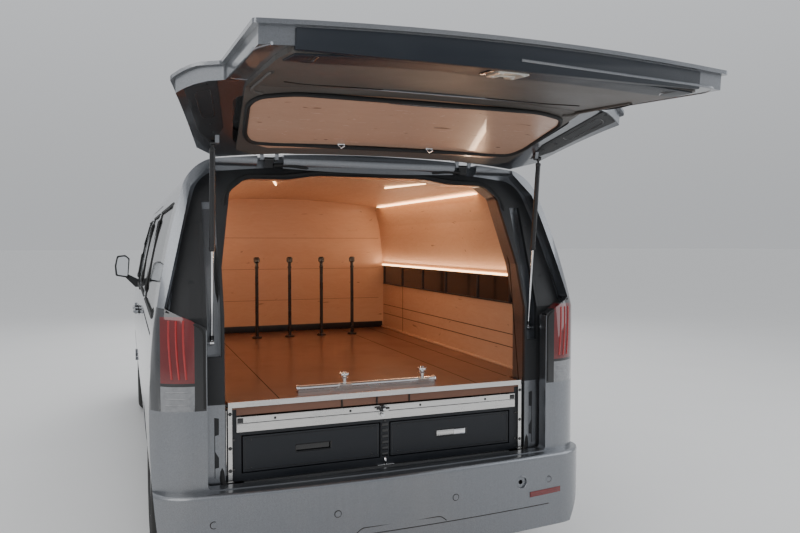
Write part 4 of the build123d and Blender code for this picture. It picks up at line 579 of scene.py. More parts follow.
    def wrapped(self, outline: Sequence[Pair], axis: Axis, skin: "Skin", lift: float, thick: float,
                finish: int = 0, cell: float = 0.05, edge: float = 0.0) -> None:
        """Plate that lies on a curved skin.

        Args:
            outline: its outline, seen along the axis.
            axis: the axis that it is laid on along.
            skin: what it lies on, seen from outside.
            lift: how far its back stands off the skin.
            thick: its thickness, outwards.
            finish: place in the piece's list of finishes.
            cell: distance between the cuts that let it bend.
            edge: width of its softened edges.
        """
        self.begin()
        self.bm.faces.new([self.bm.verts.new(axis.place(a, b, 0.0)) for a, b in outline])
        flat = [0, 1, 2]
        flat.remove(axis.value)
        for index, spot in zip(flat, (0, 1)):
            low = min(point[spot] for point in outline)
            high = max(point[spot] for point in outline)
            normal = Vector((0, 0, 0))
            normal[index] = 1.0
            count = max(1, math.ceil((high - low) / cell))
            for step in range(1, count):
                place = Vector((0, 0, 0))
                place[index] = low + (high - low) * step / count
                fresh = self.fresh()
                geom = fresh + list({e for f in fresh for e in f.edges}) + list(
                    {v for f in fresh for v in f.verts})
                bmesh.ops.bisect_plane(self.bm, geom=geom, dist=1e-6, plane_co=place, plane_no=normal)
        fresh = self.fresh()
        base = {v for f in fresh for v in f.verts}
        out = bmesh.ops.extrude_face_region(self.bm, geom=fresh, use_keep_orig=True)["geom"]
        raised = {item for item in out if isinstance(item, bmesh.types.BMVert)}
        for vert in base | raised:
            spots = [vert.co[i] for i in flat]
            depth = skin.depth(axis, spots[0], spots[1])
            outward = skin.outward
            vert.co[axis.value] = depth + outward * (lift + (thick if vert in raised else 0.0))
        fresh = self.fresh()
        bmesh.ops.recalc_face_normals(self.bm, faces=fresh)
        if edge:
            rims = [e for e in {e for f in fresh for e in f.edges}
                    if e.is_manifold and e.calc_face_angle(0.0) > 0.9
                    and e.verts[0] in raised and e.verts[1] in raised]
            bmesh.ops.bevel(self.bm, geom=rims, offset=edge, offset_type="OFFSET", affect="EDGES",
                            segments=2, profile=0.5, material=-1, clamp_overlap=True)
        self.end(finish)

    def hose(self, points: Sequence[Triple], radius: float, closed: bool = False, finish: int = 0,
             smooth: bool = False, flat: float = 1.0) -> None:
        """Round strip that follows points, smoothed where asked."""
        self.begin()
        curve = bpy.data.curves.new("route", "CURVE")
        curve.dimensions = "3D"
        curve.bevel_depth = radius
        curve.bevel_resolution = 3
        curve.use_fill_caps = True
        spline = curve.splines.new("NURBS" if smooth else "POLY")
        spline.points.add(len(points) - 1)
        for point, spot in zip(spline.points, points):
            point.co = (*spot, 1.0)
        spline.use_cyclic_u = closed
        if smooth:
            spline.order_u = 3
            spline.use_endpoint_u = not closed
            spline.resolution_u = 6
        carrier = bpy.data.objects.new("route", curve)
        mesh = bpy.data.meshes.new_from_object(carrier)
        self.bm.from_mesh(mesh)
        bpy.data.objects.remove(carrier)
        bpy.data.curves.remove(curve)
        bpy.data.meshes.remove(mesh)
        self.end(finish)

    def spun(self, angle: float, centre: Triple, axis: Triple) -> "Shape":
        """Turn everything so far about an axis by an angle in degrees."""
        bmesh.ops.rotate(self.bm, cent=Vector(centre), verts=self.bm.verts[:],
                         matrix=Matrix.Rotation(math.radians(angle), 3, Vector(axis)))
        return self

    def both_sides(self) -> "Shape":
        """Add the mirror image of everything so far on the other side of the vehicle."""
        geom = self.bm.verts[:] + self.bm.edges[:] + self.bm.faces[:]
        copied = bmesh.ops.duplicate(self.bm, geom=geom)["geom"]
        verts = [item for item in copied if isinstance(item, bmesh.types.BMVert)]
        faces = [item for item in copied if isinstance(item, bmesh.types.BMFace)]
        bmesh.ops.scale(self.bm, vec=(-1, 1, 1), verts=verts)
        bmesh.ops.reverse_faces(self.bm, faces=faces)
        return self

    def other_side(self) -> "Shape":
        """Move everything so far to its mirror place on the other side."""
        bmesh.ops.scale(self.bm, vec=(-1, 1, 1), verts=self.bm.verts[:])
        bmesh.ops.reverse_faces(self.bm, faces=self.bm.faces[:])
        return self

    def piece(self, name: str, finishes: Sequence[Finish], body: str, replaces: Sequence[str] = (),
              smooth: float = 32.0) -> bpy.types.Object:
        """Turn the mesh into a piece of the object.

        Args:
            name: the piece's name.
            finishes: its finishes, in the order that the faces count them.
            body: the body that it rides on.
            replaces: solids that it stands for.
            smooth: largest angle in degrees that still shades as smooth.

        Returns:
            The new object.
        """
        mesh = bpy.data.meshes.new(name)
        self.bm.faces.layers.int.remove(self.bm.faces.layers.int["done"])
        self.bm.to_mesh(mesh)
        self.bm.free()
        for finish in finishes:
            mesh.materials.append(finish.material())
        mesh.shade_smooth()
        mesh.set_sharp_from_angle(angle=math.radians(smooth))
        made = bpy.data.objects.new(name, mesh)
        bpy.context.scene.collection.objects.link(made)
        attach(made, body)
        if replaces:
            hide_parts(*replaces)
        LOG.info("piece %s on %s: %d faces", name, body, len(mesh.polygons))
        return made


def solid_copy(node: str, dissolve: float = 0.5) -> bmesh.types.BMesh:
    """Merged copy of a solid's mesh, with flat neighbours joined into one face."""
    bm = bmesh.new()
    bm.from_mesh(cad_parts[node].data)
    bmesh.ops.remove_doubles(bm, verts=bm.verts[:], dist=1e-5)
    if dissolve:
        bmesh.ops.dissolve_limit(bm, angle_limit=math.radians(dissolve), verts=bm.verts[:],
                                 edges=bm.edges[:])
    return bm


class Skin:
    """Surface of some solids, looked up along an axis from outside."""

    def __init__(self, nodes: Sequence[str], outward: int, turn: Matrix | None = None) -> None:
        """Gather the solids' meshes, turned where a matrix is given."""
        bm = bmesh.new()
        for node in nodes:
            bm.from_mesh(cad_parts[node].data)
        if turn is not None:
            bmesh.ops.transform(bm, matrix=turn, verts=bm.verts[:])
        self.tree = BVHTree.FromBMesh(bm)
        bm.free()
        self.outward = outward
        self.last = 0.0

    def depth(self, axis: Axis, first: float, second: float) -> float:
        """Place of the surface along the axis, or the last one found over a hole."""
        start = axis.place(first, second, 6.0 * self.outward)
        way = axis.place(0, 0, -1.0 * self.outward)
        hit = self.tree.ray_cast(start, way)[0]
        if hit is not None:
            self.last = hit[axis.value]
        return self.last


@dataclass
class Studio:
    """Floor, lights and the camera at the photograph's place."""

    camera_place: Triple = (-1.041, -4.797, 1.519)
    camera_yaw: float = 21.1
    camera_pitch: float = -1.89
    focal_pixels: float = 712.1
    image_width: float = 800.0
    sensor: float = 36.0
    floor_size: float = 160.0
    sky_rise: tuple[float, float, float, float] = (0.0, 0.5, 0.60, 0.86)

    def build(self) -> None:
        """Make the floor, the lights, the sky and the camera."""
        bm = bmesh.new()
        bmesh.ops.create_grid(bm, x_segments=1, y_segments=1, size=self.floor_size)
        mesh = bpy.data.meshes.new("floor")
        bm.to_mesh(mesh)
        bm.free()
        mesh.materials.append(INK.floor.material())
        floor = bpy.data.objects.new("floor", mesh)
        bpy.context.scene.collection.objects.link(floor)
        lens = self.focal_pixels / self.image_width * self.sensor
        data = bpy.data.cameras.new("photo_view")
        data.lens = lens
        data.sensor_width = self.sensor
        data.clip_end = 200
        camera = bpy.data.objects.new("photo_view", data)
        camera.location = self.camera_place
        camera.rotation_euler = (math.radians(90 + self.camera_pitch), 0,
                                 -math.radians(self.camera_yaw))
        bpy.context.scene.collection.objects.link(camera)
        bpy.context.scene.camera = camera
        self.lamp("key_light", (-5.0, -6.0, 5.5), (0.0, -1.5, 1.0), 6.0, 240, (1.0, 0.99, 0.97))
        self.lamp("fill_light", (6.0, -4.5, 3.5), (0.0, -1.0, 1.0), 5.0, 120, (0.94, 0.97, 1.0))
        self.lamp("top_light", (0.0, 0.5, 7.5), (0.0, 0.0, 0.0), 8.0, 180, (1.0, 1.0, 1.0))
        self.lamp("front_light", (2.5, 8.0, 4.0), (0.0, 1.0, 1.0), 5.0, 160, (1.0, 1.0, 1.0))
        world = bpy.data.worlds.new("studio_sky")
        bpy.context.scene.world = world
        world.use_nodes = True
        world.node_tree.nodes["Background"].inputs[0].default_value = (0.86, 0.88, 0.91, 1)
        nodes, links = world.node_tree.nodes, world.node_tree.links
        split = nodes.new("ShaderNodeSeparateXYZ")
        rise = nodes.new("ShaderNodeMapRange")
        rise.interpolation_type = "SMOOTHSTEP"
        for place, value in enumerate(self.sky_rise, start=1):
            rise.inputs[place].default_value = value
        links.new(nodes.new("ShaderNodeTexCoord").outputs["Generated"], split.inputs[0])
        links.new(split.outputs["Z"], rise.inputs[0])
        links.new(rise.outputs[0], nodes["Background"].inputs[1])

    @staticmethod
    def lamp(name: str, place: Triple, aim: Triple, size: float, power: float, colour: Triple,
             length: float | None = None, parent: str | None = None) -> bpy.types.Object:
        """Soft area light that points at a place."""
        data = bpy.data.lights.new(name, "AREA")
        data.size = length or size
        if length:
            data.shape = "RECTANGLE"
            data.size_y = size
        data.energy = power
        data.color = colour
        made = bpy.data.objects.new(name, data)
        made.location = place
        made.rotation_euler = (Vector(aim) - Vector(place)).to_track_quat("-Z", "Y").to_euler()
        bpy.context.scene.collection.objects.link(made)
        return made


@dataclass
class Bodywork:
    """Finishes of the painted shell and every other imported solid."""

    handle_z: float = 1.02
    seam: float = 0.0025

    def build(self) -> None:
        """Dress the shell from outside."""
        self.finish_nodes()

    def finish_nodes(self) -> None:
        """Give every solid its finish."""
        for node, finish in NODE_FINISHES.items():
            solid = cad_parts[node]
            if not solid.material_slots:
                solid.data.materials.append(None)
            for place in solid.material_slots:
                place.material = finish.material()


GATE_TURN = -86.0
GATE_HINGE: Triple = (0.0, -1.730, 1.880)
ACROSS: Triple = (1.0, 0.0, 0.0)


def rounded_route(points: Sequence[Triple], radius: float, closed: bool = False, steps: int = 5
                  ) -> list[Triple]:
    """Route whose corners are curved.

    Args:
        points: the corners of the route.
        radius: how far from each corner its curve starts.
        closed: whether the last point joins the first.
        steps: spans in each curve.

    Returns:
        The points of the curved route.
    """
    spots = [Vector(point) for point in points]
    route: list[Triple] = []
    for index, spot in enumerate(spots):
        if not closed and index in (0, len(spots) - 1):
            route.append(tuple(spot))
            continue
        before = spots[index - 1] - spot
        after = spots[(index + 1) % len(spots)] - spot
        reach = min(radius, before.length * 0.45, after.length * 0.45)
        start = spot + before.normalized() * reach
        stop = spot + after.normalized() * reach
        for step in range(steps + 1):
            t = step / steps
            route.append(tuple(start * (1 - t) ** 2 + spot * 2 * t * (1 - t) + stop * t * t))
    return route


def spread(start: float, stop: float, count: int) -> list[float]:
    """Evenly spaced values from one end to the other."""
    return [start + (stop - start) * index / (count - 1) for index in range(count)]


@dataclass
class RearFrame:
    """Seal, screws, clips and latch of the load opening."""

    opening: list[Pair] = field(default_factory=lambda: [
        (0.0, 0.503), (0.640, 0.503), (0.682, 0.560), (0.682, 1.420), (0.640, 1.725), (0.565, 1.793),
        (0.385, 1.797), (0.235, 1.817), (0.0, 1.817)])
    seal: float = 0.013
    screws: list[Pair] = field(default_factory=lambda: [
        (0.800, 1.360), (0.830, 1.130), (0.850, 0.950), (0.760, 1.600)])
    sill_top: float = 0.559
    ribs: int = 44
    sill_y: Pair = (-1.944, -1.862)

    def build(self) -> None:
        """Make each piece."""
        skin = Skin(["rear_frame", "pillar_covers", "rear_sill"], -1)
        self.opening_seal(skin)
        self.cover_fixings(skin)
        self.sill_ribs()
        self.striker()
        self.roof_seal(skin)

    def opening_seal(self, skin: "Skin") -> None:
        """Rubber seal on the flange round the opening."""
        shape = Shape()
        outer = [(x + 0.010 if x else 0.0, z + (0.010 if z > 1.7 else 0.0)) for x, z in self.opening]
        flat = outer + [(-x, z) for x, z in reversed(outer) if x]
        flat = [(x, 0.0, z) for x, z in flat]
        route = []
        for x, _, z in rounded_route(flat, 0.05, closed=True):
            depth = skin.depth(Axis.Y, x * 1.02, z + 0.012 * (z > 1.7))
            route.append((x, depth + 0.006, z))
        shape.hose(route, self.seal, closed=True)
        shape.piece("opening_seal", [INK.rubber], "body")

    def cover_fixings(self, skin: "Skin") -> None:
        """Push clips of the side covers, each with a dished head, and the covers' raised frames."""
        shape = Shape()
        for x, z in self.screws:
            depth = skin.depth(Axis.Y, x, z)
            shape.lathe([(0.0, 0.012), (0.0008, 0.012), (0.0012, 0.010), (0.0004, 0.006), (0.0008, 0.0)],
                        (x, depth, z), (0, -1, 0), 24)
        ridge = [(0.772, 0.915), (0.905, 0.935), (0.897, 1.25), (0.812, 1.585), (0.765, 1.60),
                 (0.760, 1.20)]
        route = [(x, 0.0, z) for x, z in ridge]
        route = [(x, skin.depth(Axis.Y, x, z) + 0.0014, z)
                 for x, _, z in rounded_route(route, 0.04, closed=True)]
        shape.hose(route, 0.0020, closed=True)
        shape.both_sides().piece("cover_fixings", [INK.plastic], "body")

    def sill_ribs(self) -> None:
        """Grip ribs on the sill cover, with the loading edge's plain middle left free."""
        shape = Shape()
        for x in spread(-0.585, 0.585, self.ribs):
            if abs(x) > 0.07:
                shape.block((x - 0.004, self.sill_y[0] + 0.02, self.sill_top - 0.001),
                            (x + 0.004, self.sill_y[1], self.sill_top + 0.0025), 0.001)
        shape.block((-0.2, -1.945, 0.531), (0.2, -1.9395, 0.5335), 0.0008)
        shape.piece("sill_ribs", [INK.plastic], "body")

    def striker(self) -> None:
        """Bright loop that the tailgate's latch holds, on its plate in the middle of the sill."""
        shape = Shape()
        base = self.sill_top
        shape.block((-0.038, -1.930, base - 0.001), (0.038, -1.880, base + 0.004), 0.0015)
        for x in (-0.026, 0.026):
            shape.lathe([(0.0, 0.008), (0.004, 0.008), (0.006, 0.005), (0.006, 0.0)],
                        (x, -1.905, base + 0.004), (0, 0, 1), 12)
        loop = [(0.0, -1.925, base), (0.0, -1.925, base + 0.030), (0.0, -1.888, base + 0.030),
                (0.0, -1.888, base)]
        shape.hose(rounded_route(loop, 0.012), 0.0055)
        shape.piece("striker", [INK.bright], "body")

    def roof_seal(self, skin: "Skin") -> None:
        """Black drain channel under the roof's rear edge."""
        shape = Shape()
        route = [(x, skin.depth(Axis.Y, x, 1.842) - 0.002, 1.842) for x in spread(-0.40, 0.40, 15)]
        shape.hose(route, 0.007)
        shape.piece("drain_channel", [INK.rubber], "body")


@dataclass
class Tailgate:
    """Trim, latch, grips, seals and wiring of the tailgate, made with it shut and then raised."""

    band: list[Pair] = field(default_factory=lambda: [
        (0.636, 0.606), (0.648, 0.700), (0.560, 0.728), (0.150, 0.742), (0.072, 0.765)])
    veneer: list[Pair] = field(default_factory=lambda: [
        (0.500, 1.264), (0.606, 1.287), (0.636, 1.340), (0.612, 1.580), (0.580, 1.650), (0.480, 1.668)])
    crease: list[Pair] = field(default_factory=lambda: [
        (-0.560, 1.100), (-0.480, 1.150), (-0.020, 1.196), (0.430, 1.160), (0.560, 1.100)])
    edge_y: float = -2.013
    edge_inner: float = -1.941
    clips: Pair = (-0.205, 0.190)
    clip_z: float = 1.660
    slot: tuple[float, float, float, float] = (0.02, 1.292, 0.165, 0.014)

    def build(self) -> None:
        """Make each piece."""
        self.back = Matrix.Translation(GATE_HINGE) @ Matrix.Rotation(
            math.radians(-GATE_TURN), 4, "X") @ Matrix.Translation(-Vector(GATE_HINGE))
        nodes = ["tailgate", "tailgate_lining", "tailgate_wood", "tailgate_glass"]
        self.inside = Skin(nodes, 1, self.back)
        self.outside = Skin(nodes, -1, self.back)
        self.trim_band()
        self.latch()
        self.grips()
        self.panel()
        self.crease_shade_and_rim()
        self.edge_seal()
        self.wing_inserts()
        self.harness()
        self.outer_trim()

    def close(self, shape: "Shape", name: str, finishes: Sequence[Finish], smooth: float = 32.0) -> None:
        """Raise a shape made for the shut tailgate and keep it as one of its pieces."""
        shape.spun(GATE_TURN, GATE_HINGE, ACROSS)
        shape.piece(name, finishes, "tailgate", smooth=smooth)

    def trim_band(self) -> None:
        """Deep band along the loading edge, with a dip for the latch."""
        shape = Shape()
        right = self.band
        outline = right + [(-x, z) for x, z in reversed(right)]
        shape.wrapped(outline, Axis.Y, self.inside, 0.0003, 0.0045, cell=0.06, edge=0.0015)
        self.close(shape, "gate_trim_band", [INK.navy])
        shape = Shape()
        xs = spread(-0.640, 0.640, 19)
        outline = [(x, self.edge_y + 0.046 * x * x) for x in xs]
        outline += [(xs[-1], self.edge_inner), (xs[0], self.edge_inner)]
        shape.prism(outline, Axis.Z, 0.5785, 0.607, 0.003)
        self.close(shape, "gate_edge_trim", [INK.navy])

    def latch(self) -> None:
        """Zinc-plated lock in the middle of the band, with its notch and rivets."""
        shape = Shape()
        depth = self.inside.depth(Axis.Y, 0.0, 0.68)
        top = depth + 0.010
        outline = [(-0.052, 0.612), (0.048, 0.612), (0.052, 0.640), (0.046, 0.700), (0.012, 0.704),
                   (0.009, 0.655), (-0.013, 0.655), (-0.016, 0.704), (-0.050, 0.698)]
        shape.prism(outline, Axis.Y, depth, top + 0.007, 0.0015, 0, corner=0.005)
        shape.prism([(-0.064, 0.602), (0.062, 0.602), (0.066, 0.716), (-0.066, 0.716)], Axis.Y, depth,
                    top, 0.002, 1, corner=0.01)
        for x, z in ((-0.036, 0.625), (0.034, 0.625), (-0.034, 0.684), (0.030, 0.684)):
            shape.lathe([(0.0, 0.007), (0.003, 0.006), (0.0045, 0.003), (0.0045, 0.0)],
                        (x, top + 0.006, z), (0, 1, 0), 16)
        shape.bar((-0.002, top + 0.002, 0.66), (-0.002, top + 0.010, 0.66), 0.008, 20, 0, edge=0.001)
        shape.hose([(-0.040, top + 0.009, 0.655), (-0.022, top + 0.011, 0.640),
                    (0.016, top + 0.009, 0.640)], 0.002, finish=0)
        self.close(shape, "gate_latch", [INK.zinc, INK.gloss])

    def grips(self) -> None:
        """Recessed pull at each end of the band."""
        shape = Shape()
        for side in (-1, 1):
            x = 0.598 * side
            depth = self.inside.depth(Axis.Y, x, 0.66)
            rim = [(x - 0.034, 0.66), (x - 0.018 * side, 0.615), (x + 0.026, 0.625), (x + 0.030, 0.690),
                   (x, 0.716)]
            route = rounded_route([(a, depth + 0.002, b) for a, b in rim], 0.016, closed=True)
            shape.hose(route, 0.003, closed=True, finish=0)
            dish = [(x - 0.024, 0.66), (x - 0.012 * side, 0.627), (x + 0.017, 0.634), (x + 0.020, 0.682),
                    (x, 0.704)]
            shape.prism(dish, Axis.Y, depth - 0.001, depth + 0.0042, 0.0, 1, corner=0.01)
        self.close(shape, "gate_grips", [INK.gloss, INK.groove])

    def panel(self) -> None:
        """Veneered panel over the window, with its rubber lip, slot and two clips."""
        shape = Shape()
        outline = mirrored(self.veneer)
        route = rounded_route([(x, 0.0, z) for x, z in outline], 0.045, closed=True)
        shape.wrapped([(x, z) for x, _, z in route], Axis.Y, self.inside, 0.0004, 0.003, cell=0.08)
        self.close(shape, "gate_veneer", [INK.oak_gloss])
        shape = Shape()
        lip = [(x, self.inside.depth(Axis.Y, x * 0.985, z) + 0.004, z) for x, _, z in route]
        shape.hose(lip, 0.009, closed=True)
        x, z, half, high = self.slot
        lens = [(x + half * math.cos(a), z + high * math.sin(a))
                for a in [math.tau * k / 28 for k in range(28)]]
        shape.wrapped(lens, Axis.Y, self.inside, 0.004, 0.0015, finish=0)
        lens = [(x + (half - 0.01) * math.cos(a), z + (high - 0.005) * math.sin(a))
                for a in [math.tau * k / 28 for k in range(28)]]
        shape.wrapped(lens, Axis.Y, self.inside, 0.0055, 0.0008, finish=1)
        self.close(shape, "gate_panel_lip", [INK.rubber, INK.lens_clear])
        shape = Shape()
        for x in self.clips:
            depth = self.inside.depth(Axis.Y, x, self.clip_z)
            shape.block((x - 0.016, depth - 0.002, self.clip_z - 0.004),
                        (x + 0.016, depth + 0.006, self.clip_z + 0.012), 0.002)
            shape.hose([(x - 0.012, depth + 0.005, self.clip_z + 0.004),
                        (x - 0.002, depth + 0.020, self.clip_z - 0.010),
                        (x + 0.012, depth + 0.010, self.clip_z - 0.016)], 0.003)
        self.close(shape, "gate_clips", [INK.bright])

    def crease_shade_and_rim(self) -> None:
        """Near-black line painted as the shade of the pressed crease across the moulded lining, and the lining's
        rolled rim.
        """
        shape = Shape()
        route = rounded_route([(x, 0.0, z) for x, z in self.crease], 0.10)
        line = [(x, self.inside.depth(Axis.Y, x, z) + 0.0002, z) for x, _, z in route]
        # The near-black crease line is painted shade in the pressed crease.
        shape.hose(line, 0.0028, finish=0)
        rim = [(0.636, 0.905), (0.640, 0.920), (0.640, 1.255), (0.600, 1.268)]
        for side in (-1, 1):
            route = rounded_route([(side * x, 0.0, z) for x, z in rim], 0.05)
            line = [(x, self.inside.depth(Axis.Y, x, z) + 0.001, z) for x, _, z in route]
            shape.hose(line, 0.006, finish=1)
        self.close(shape, "gate_crease_shade_and_rim", [INK.groove, INK.taupe])

    def edge_seal(self) -> None:
        """Silver rolled flange along the tailgate's edge."""
        shape = Shape()
        edge = [(0.0, 0.580), (0.700, 0.580), (0.730, 0.640), (0.728, 1.180)]
        route = edge + [(-x, z) for x, z in reversed(edge) if x]
        points = rounded_route([(x, 0.0, z) for x, z in route], 0.06)
        line = [(x, self.inside.depth(Axis.Y, x * 0.992, max(z, 0.590)) - 0.0015, z) for x, _, z in points]
        shape.hose(line, 0.0045)
        self.close(shape, "gate_flange", [INK.paint])

    def wing_inserts(self) -> None:
        """Black inserts of the two side wings, each with a box recess and screws."""
        shape = Shape()
        outline = [(0.755, 1.215), (0.856, 1.268), (0.778, 1.600), (0.722, 1.700), (0.692, 1.560)]
        for side in (-1, 1):
            points = [(side * x, z) for x, z in outline]
            shape.wrapped(points, Axis.Y, self.inside, 0.0004, 0.0022, cell=0.05, edge=0.001, finish=0)
            inner = [(side * x, z) for x, z in ((0.772, 1.27), (0.822, 1.292), (0.778, 1.48),
                                                (0.735, 1.47))]
            rim = rounded_route([(x, 0.0, z) for x, z in inner], 0.02, closed=True)
            line = [(x, self.inside.depth(Axis.Y, x, z) + 0.001, z) for x, _, z in rim]
            shape.hose(line, 0.0022, closed=True, finish=1)
            for x, z in ((0.79, 1.245), (0.745, 1.53), (0.725, 1.60)):
                depth = self.inside.depth(Axis.Y, side * x, z)
                shape.lathe([(0.0, 0.008), (0.0022, 0.008), (0.0026, 0.005), (0.0022, 0.0)],
                            (side * x, depth, z), (0, 1, 0), 16, finish=1)
        self.close(shape, "wing_inserts", [INK.plastic, INK.gloss])

    def harness(self) -> None:
        """Rubber sleeves that lead wires from the roof into the tailgate, and a wire loop."""
        for side, name in ((1, "right"), (-1, "left")):
            shape = Shape()
            route = [(side * 0.440, -1.738, 1.852), (side * 0.400, -1.748, 1.856),
                     (side * 0.330, -1.750, 1.852), (side * 0.290, -1.740, 1.842)]
            shape.hose(route, 0.010, smooth=True)
            shape.piece(f"wire_sleeve_{name}", [INK.rubber], "body")
        shape = Shape()
        loop = [(0.655, 0.92), (0.672, 0.96), (0.678, 1.04), (0.670, 1.10), (0.652, 1.10)]
        line = [(x, self.inside.depth(Axis.Y, min(x, 0.655), z) + lift, z)
                for (x, z), lift in zip(loop, (0.001, 0.002, 0.002, 0.002, 0.001))]
        shape.hose(line, 0.003, smooth=True)
        self.close(shape, "gate_wire_loop", [INK.rubber])

    def outer_trim(self) -> None:
        """Outside: window seal, handle strip over a blank plate, wiper and high brake lamp."""
        shape = Shape()
        window = mirrored([(0.565, 1.296), (0.696, 1.327), (0.645, 1.696), (0.562, 1.726)])
        route = rounded_route([(x, 0.0, z) for x, z in window], 0.05, closed=True)
        line = [(x, self.outside.depth(Axis.Y, x * 1.01, z + (0.01 if z > 1.5 else -0.01)) + 0.003, z)
                for x, _, z in route]
        shape.hose(line, 0.006, closed=True, finish=0)
        shape.wrapped([(-0.30, 1.085), (0.30, 1.085), (0.30, 1.135), (-0.30, 1.135)], Axis.Y,
                      self.outside, -0.004, 0.018, cell=0.05, edge=0.005, finish=0)
        shape.wrapped([(-0.085, 1.745), (0.085, 1.745), (0.085, 1.763), (-0.085, 1.763)], Axis.Y,
                      self.outside, -0.003, 0.007, edge=0.002, finish=2)
        self.close(shape, "gate_outer_trim", [INK.gloss, INK.plastic, INK.lens_red])
        shape = Shape()
        shape.wrapped([(-0.26, 0.945), (0.26, 0.945), (0.26, 1.055), (-0.26, 1.055)], Axis.Y,
                      self.outside, 0.001, 0.003, cell=0.09, edge=0.001, finish=0)
        shape.wrapped([(-0.275, 0.930), (0.275, 0.930), (0.275, 1.070), (-0.275, 1.070)], Axis.Y,
                      self.outside, -0.001, 0.002, cell=0.09, finish=1)
        self.close(shape, "gate_blank_plate", [INK.plate, INK.plastic])
        shape = Shape()
        pivot = self.outside.depth(Axis.Y, 0.0, 1.27)
        shape.lathe([(0.0, 0.024), (0.012, 0.022), (0.018, 0.014), (0.018, 0.0)], (0.0, pivot, 1.27),
                    (0, -1, 0), 24)
        arm = [(0.0, 1.272), (0.12, 1.30), (0.30, 1.325)]
        line = [(x, self.outside.depth(Axis.Y, x, z) - 0.018, z) for x, z in arm]
        shape.hose(line, 0.005)
        blade = [(x, self.outside.depth(Axis.Y, x, 1.335) - 0.010, 1.335) for x in spread(0.08, 0.46, 8)]
        shape.hose(blade, 0.006)
        self.close(shape, "gate_wiper", [INK.plastic])


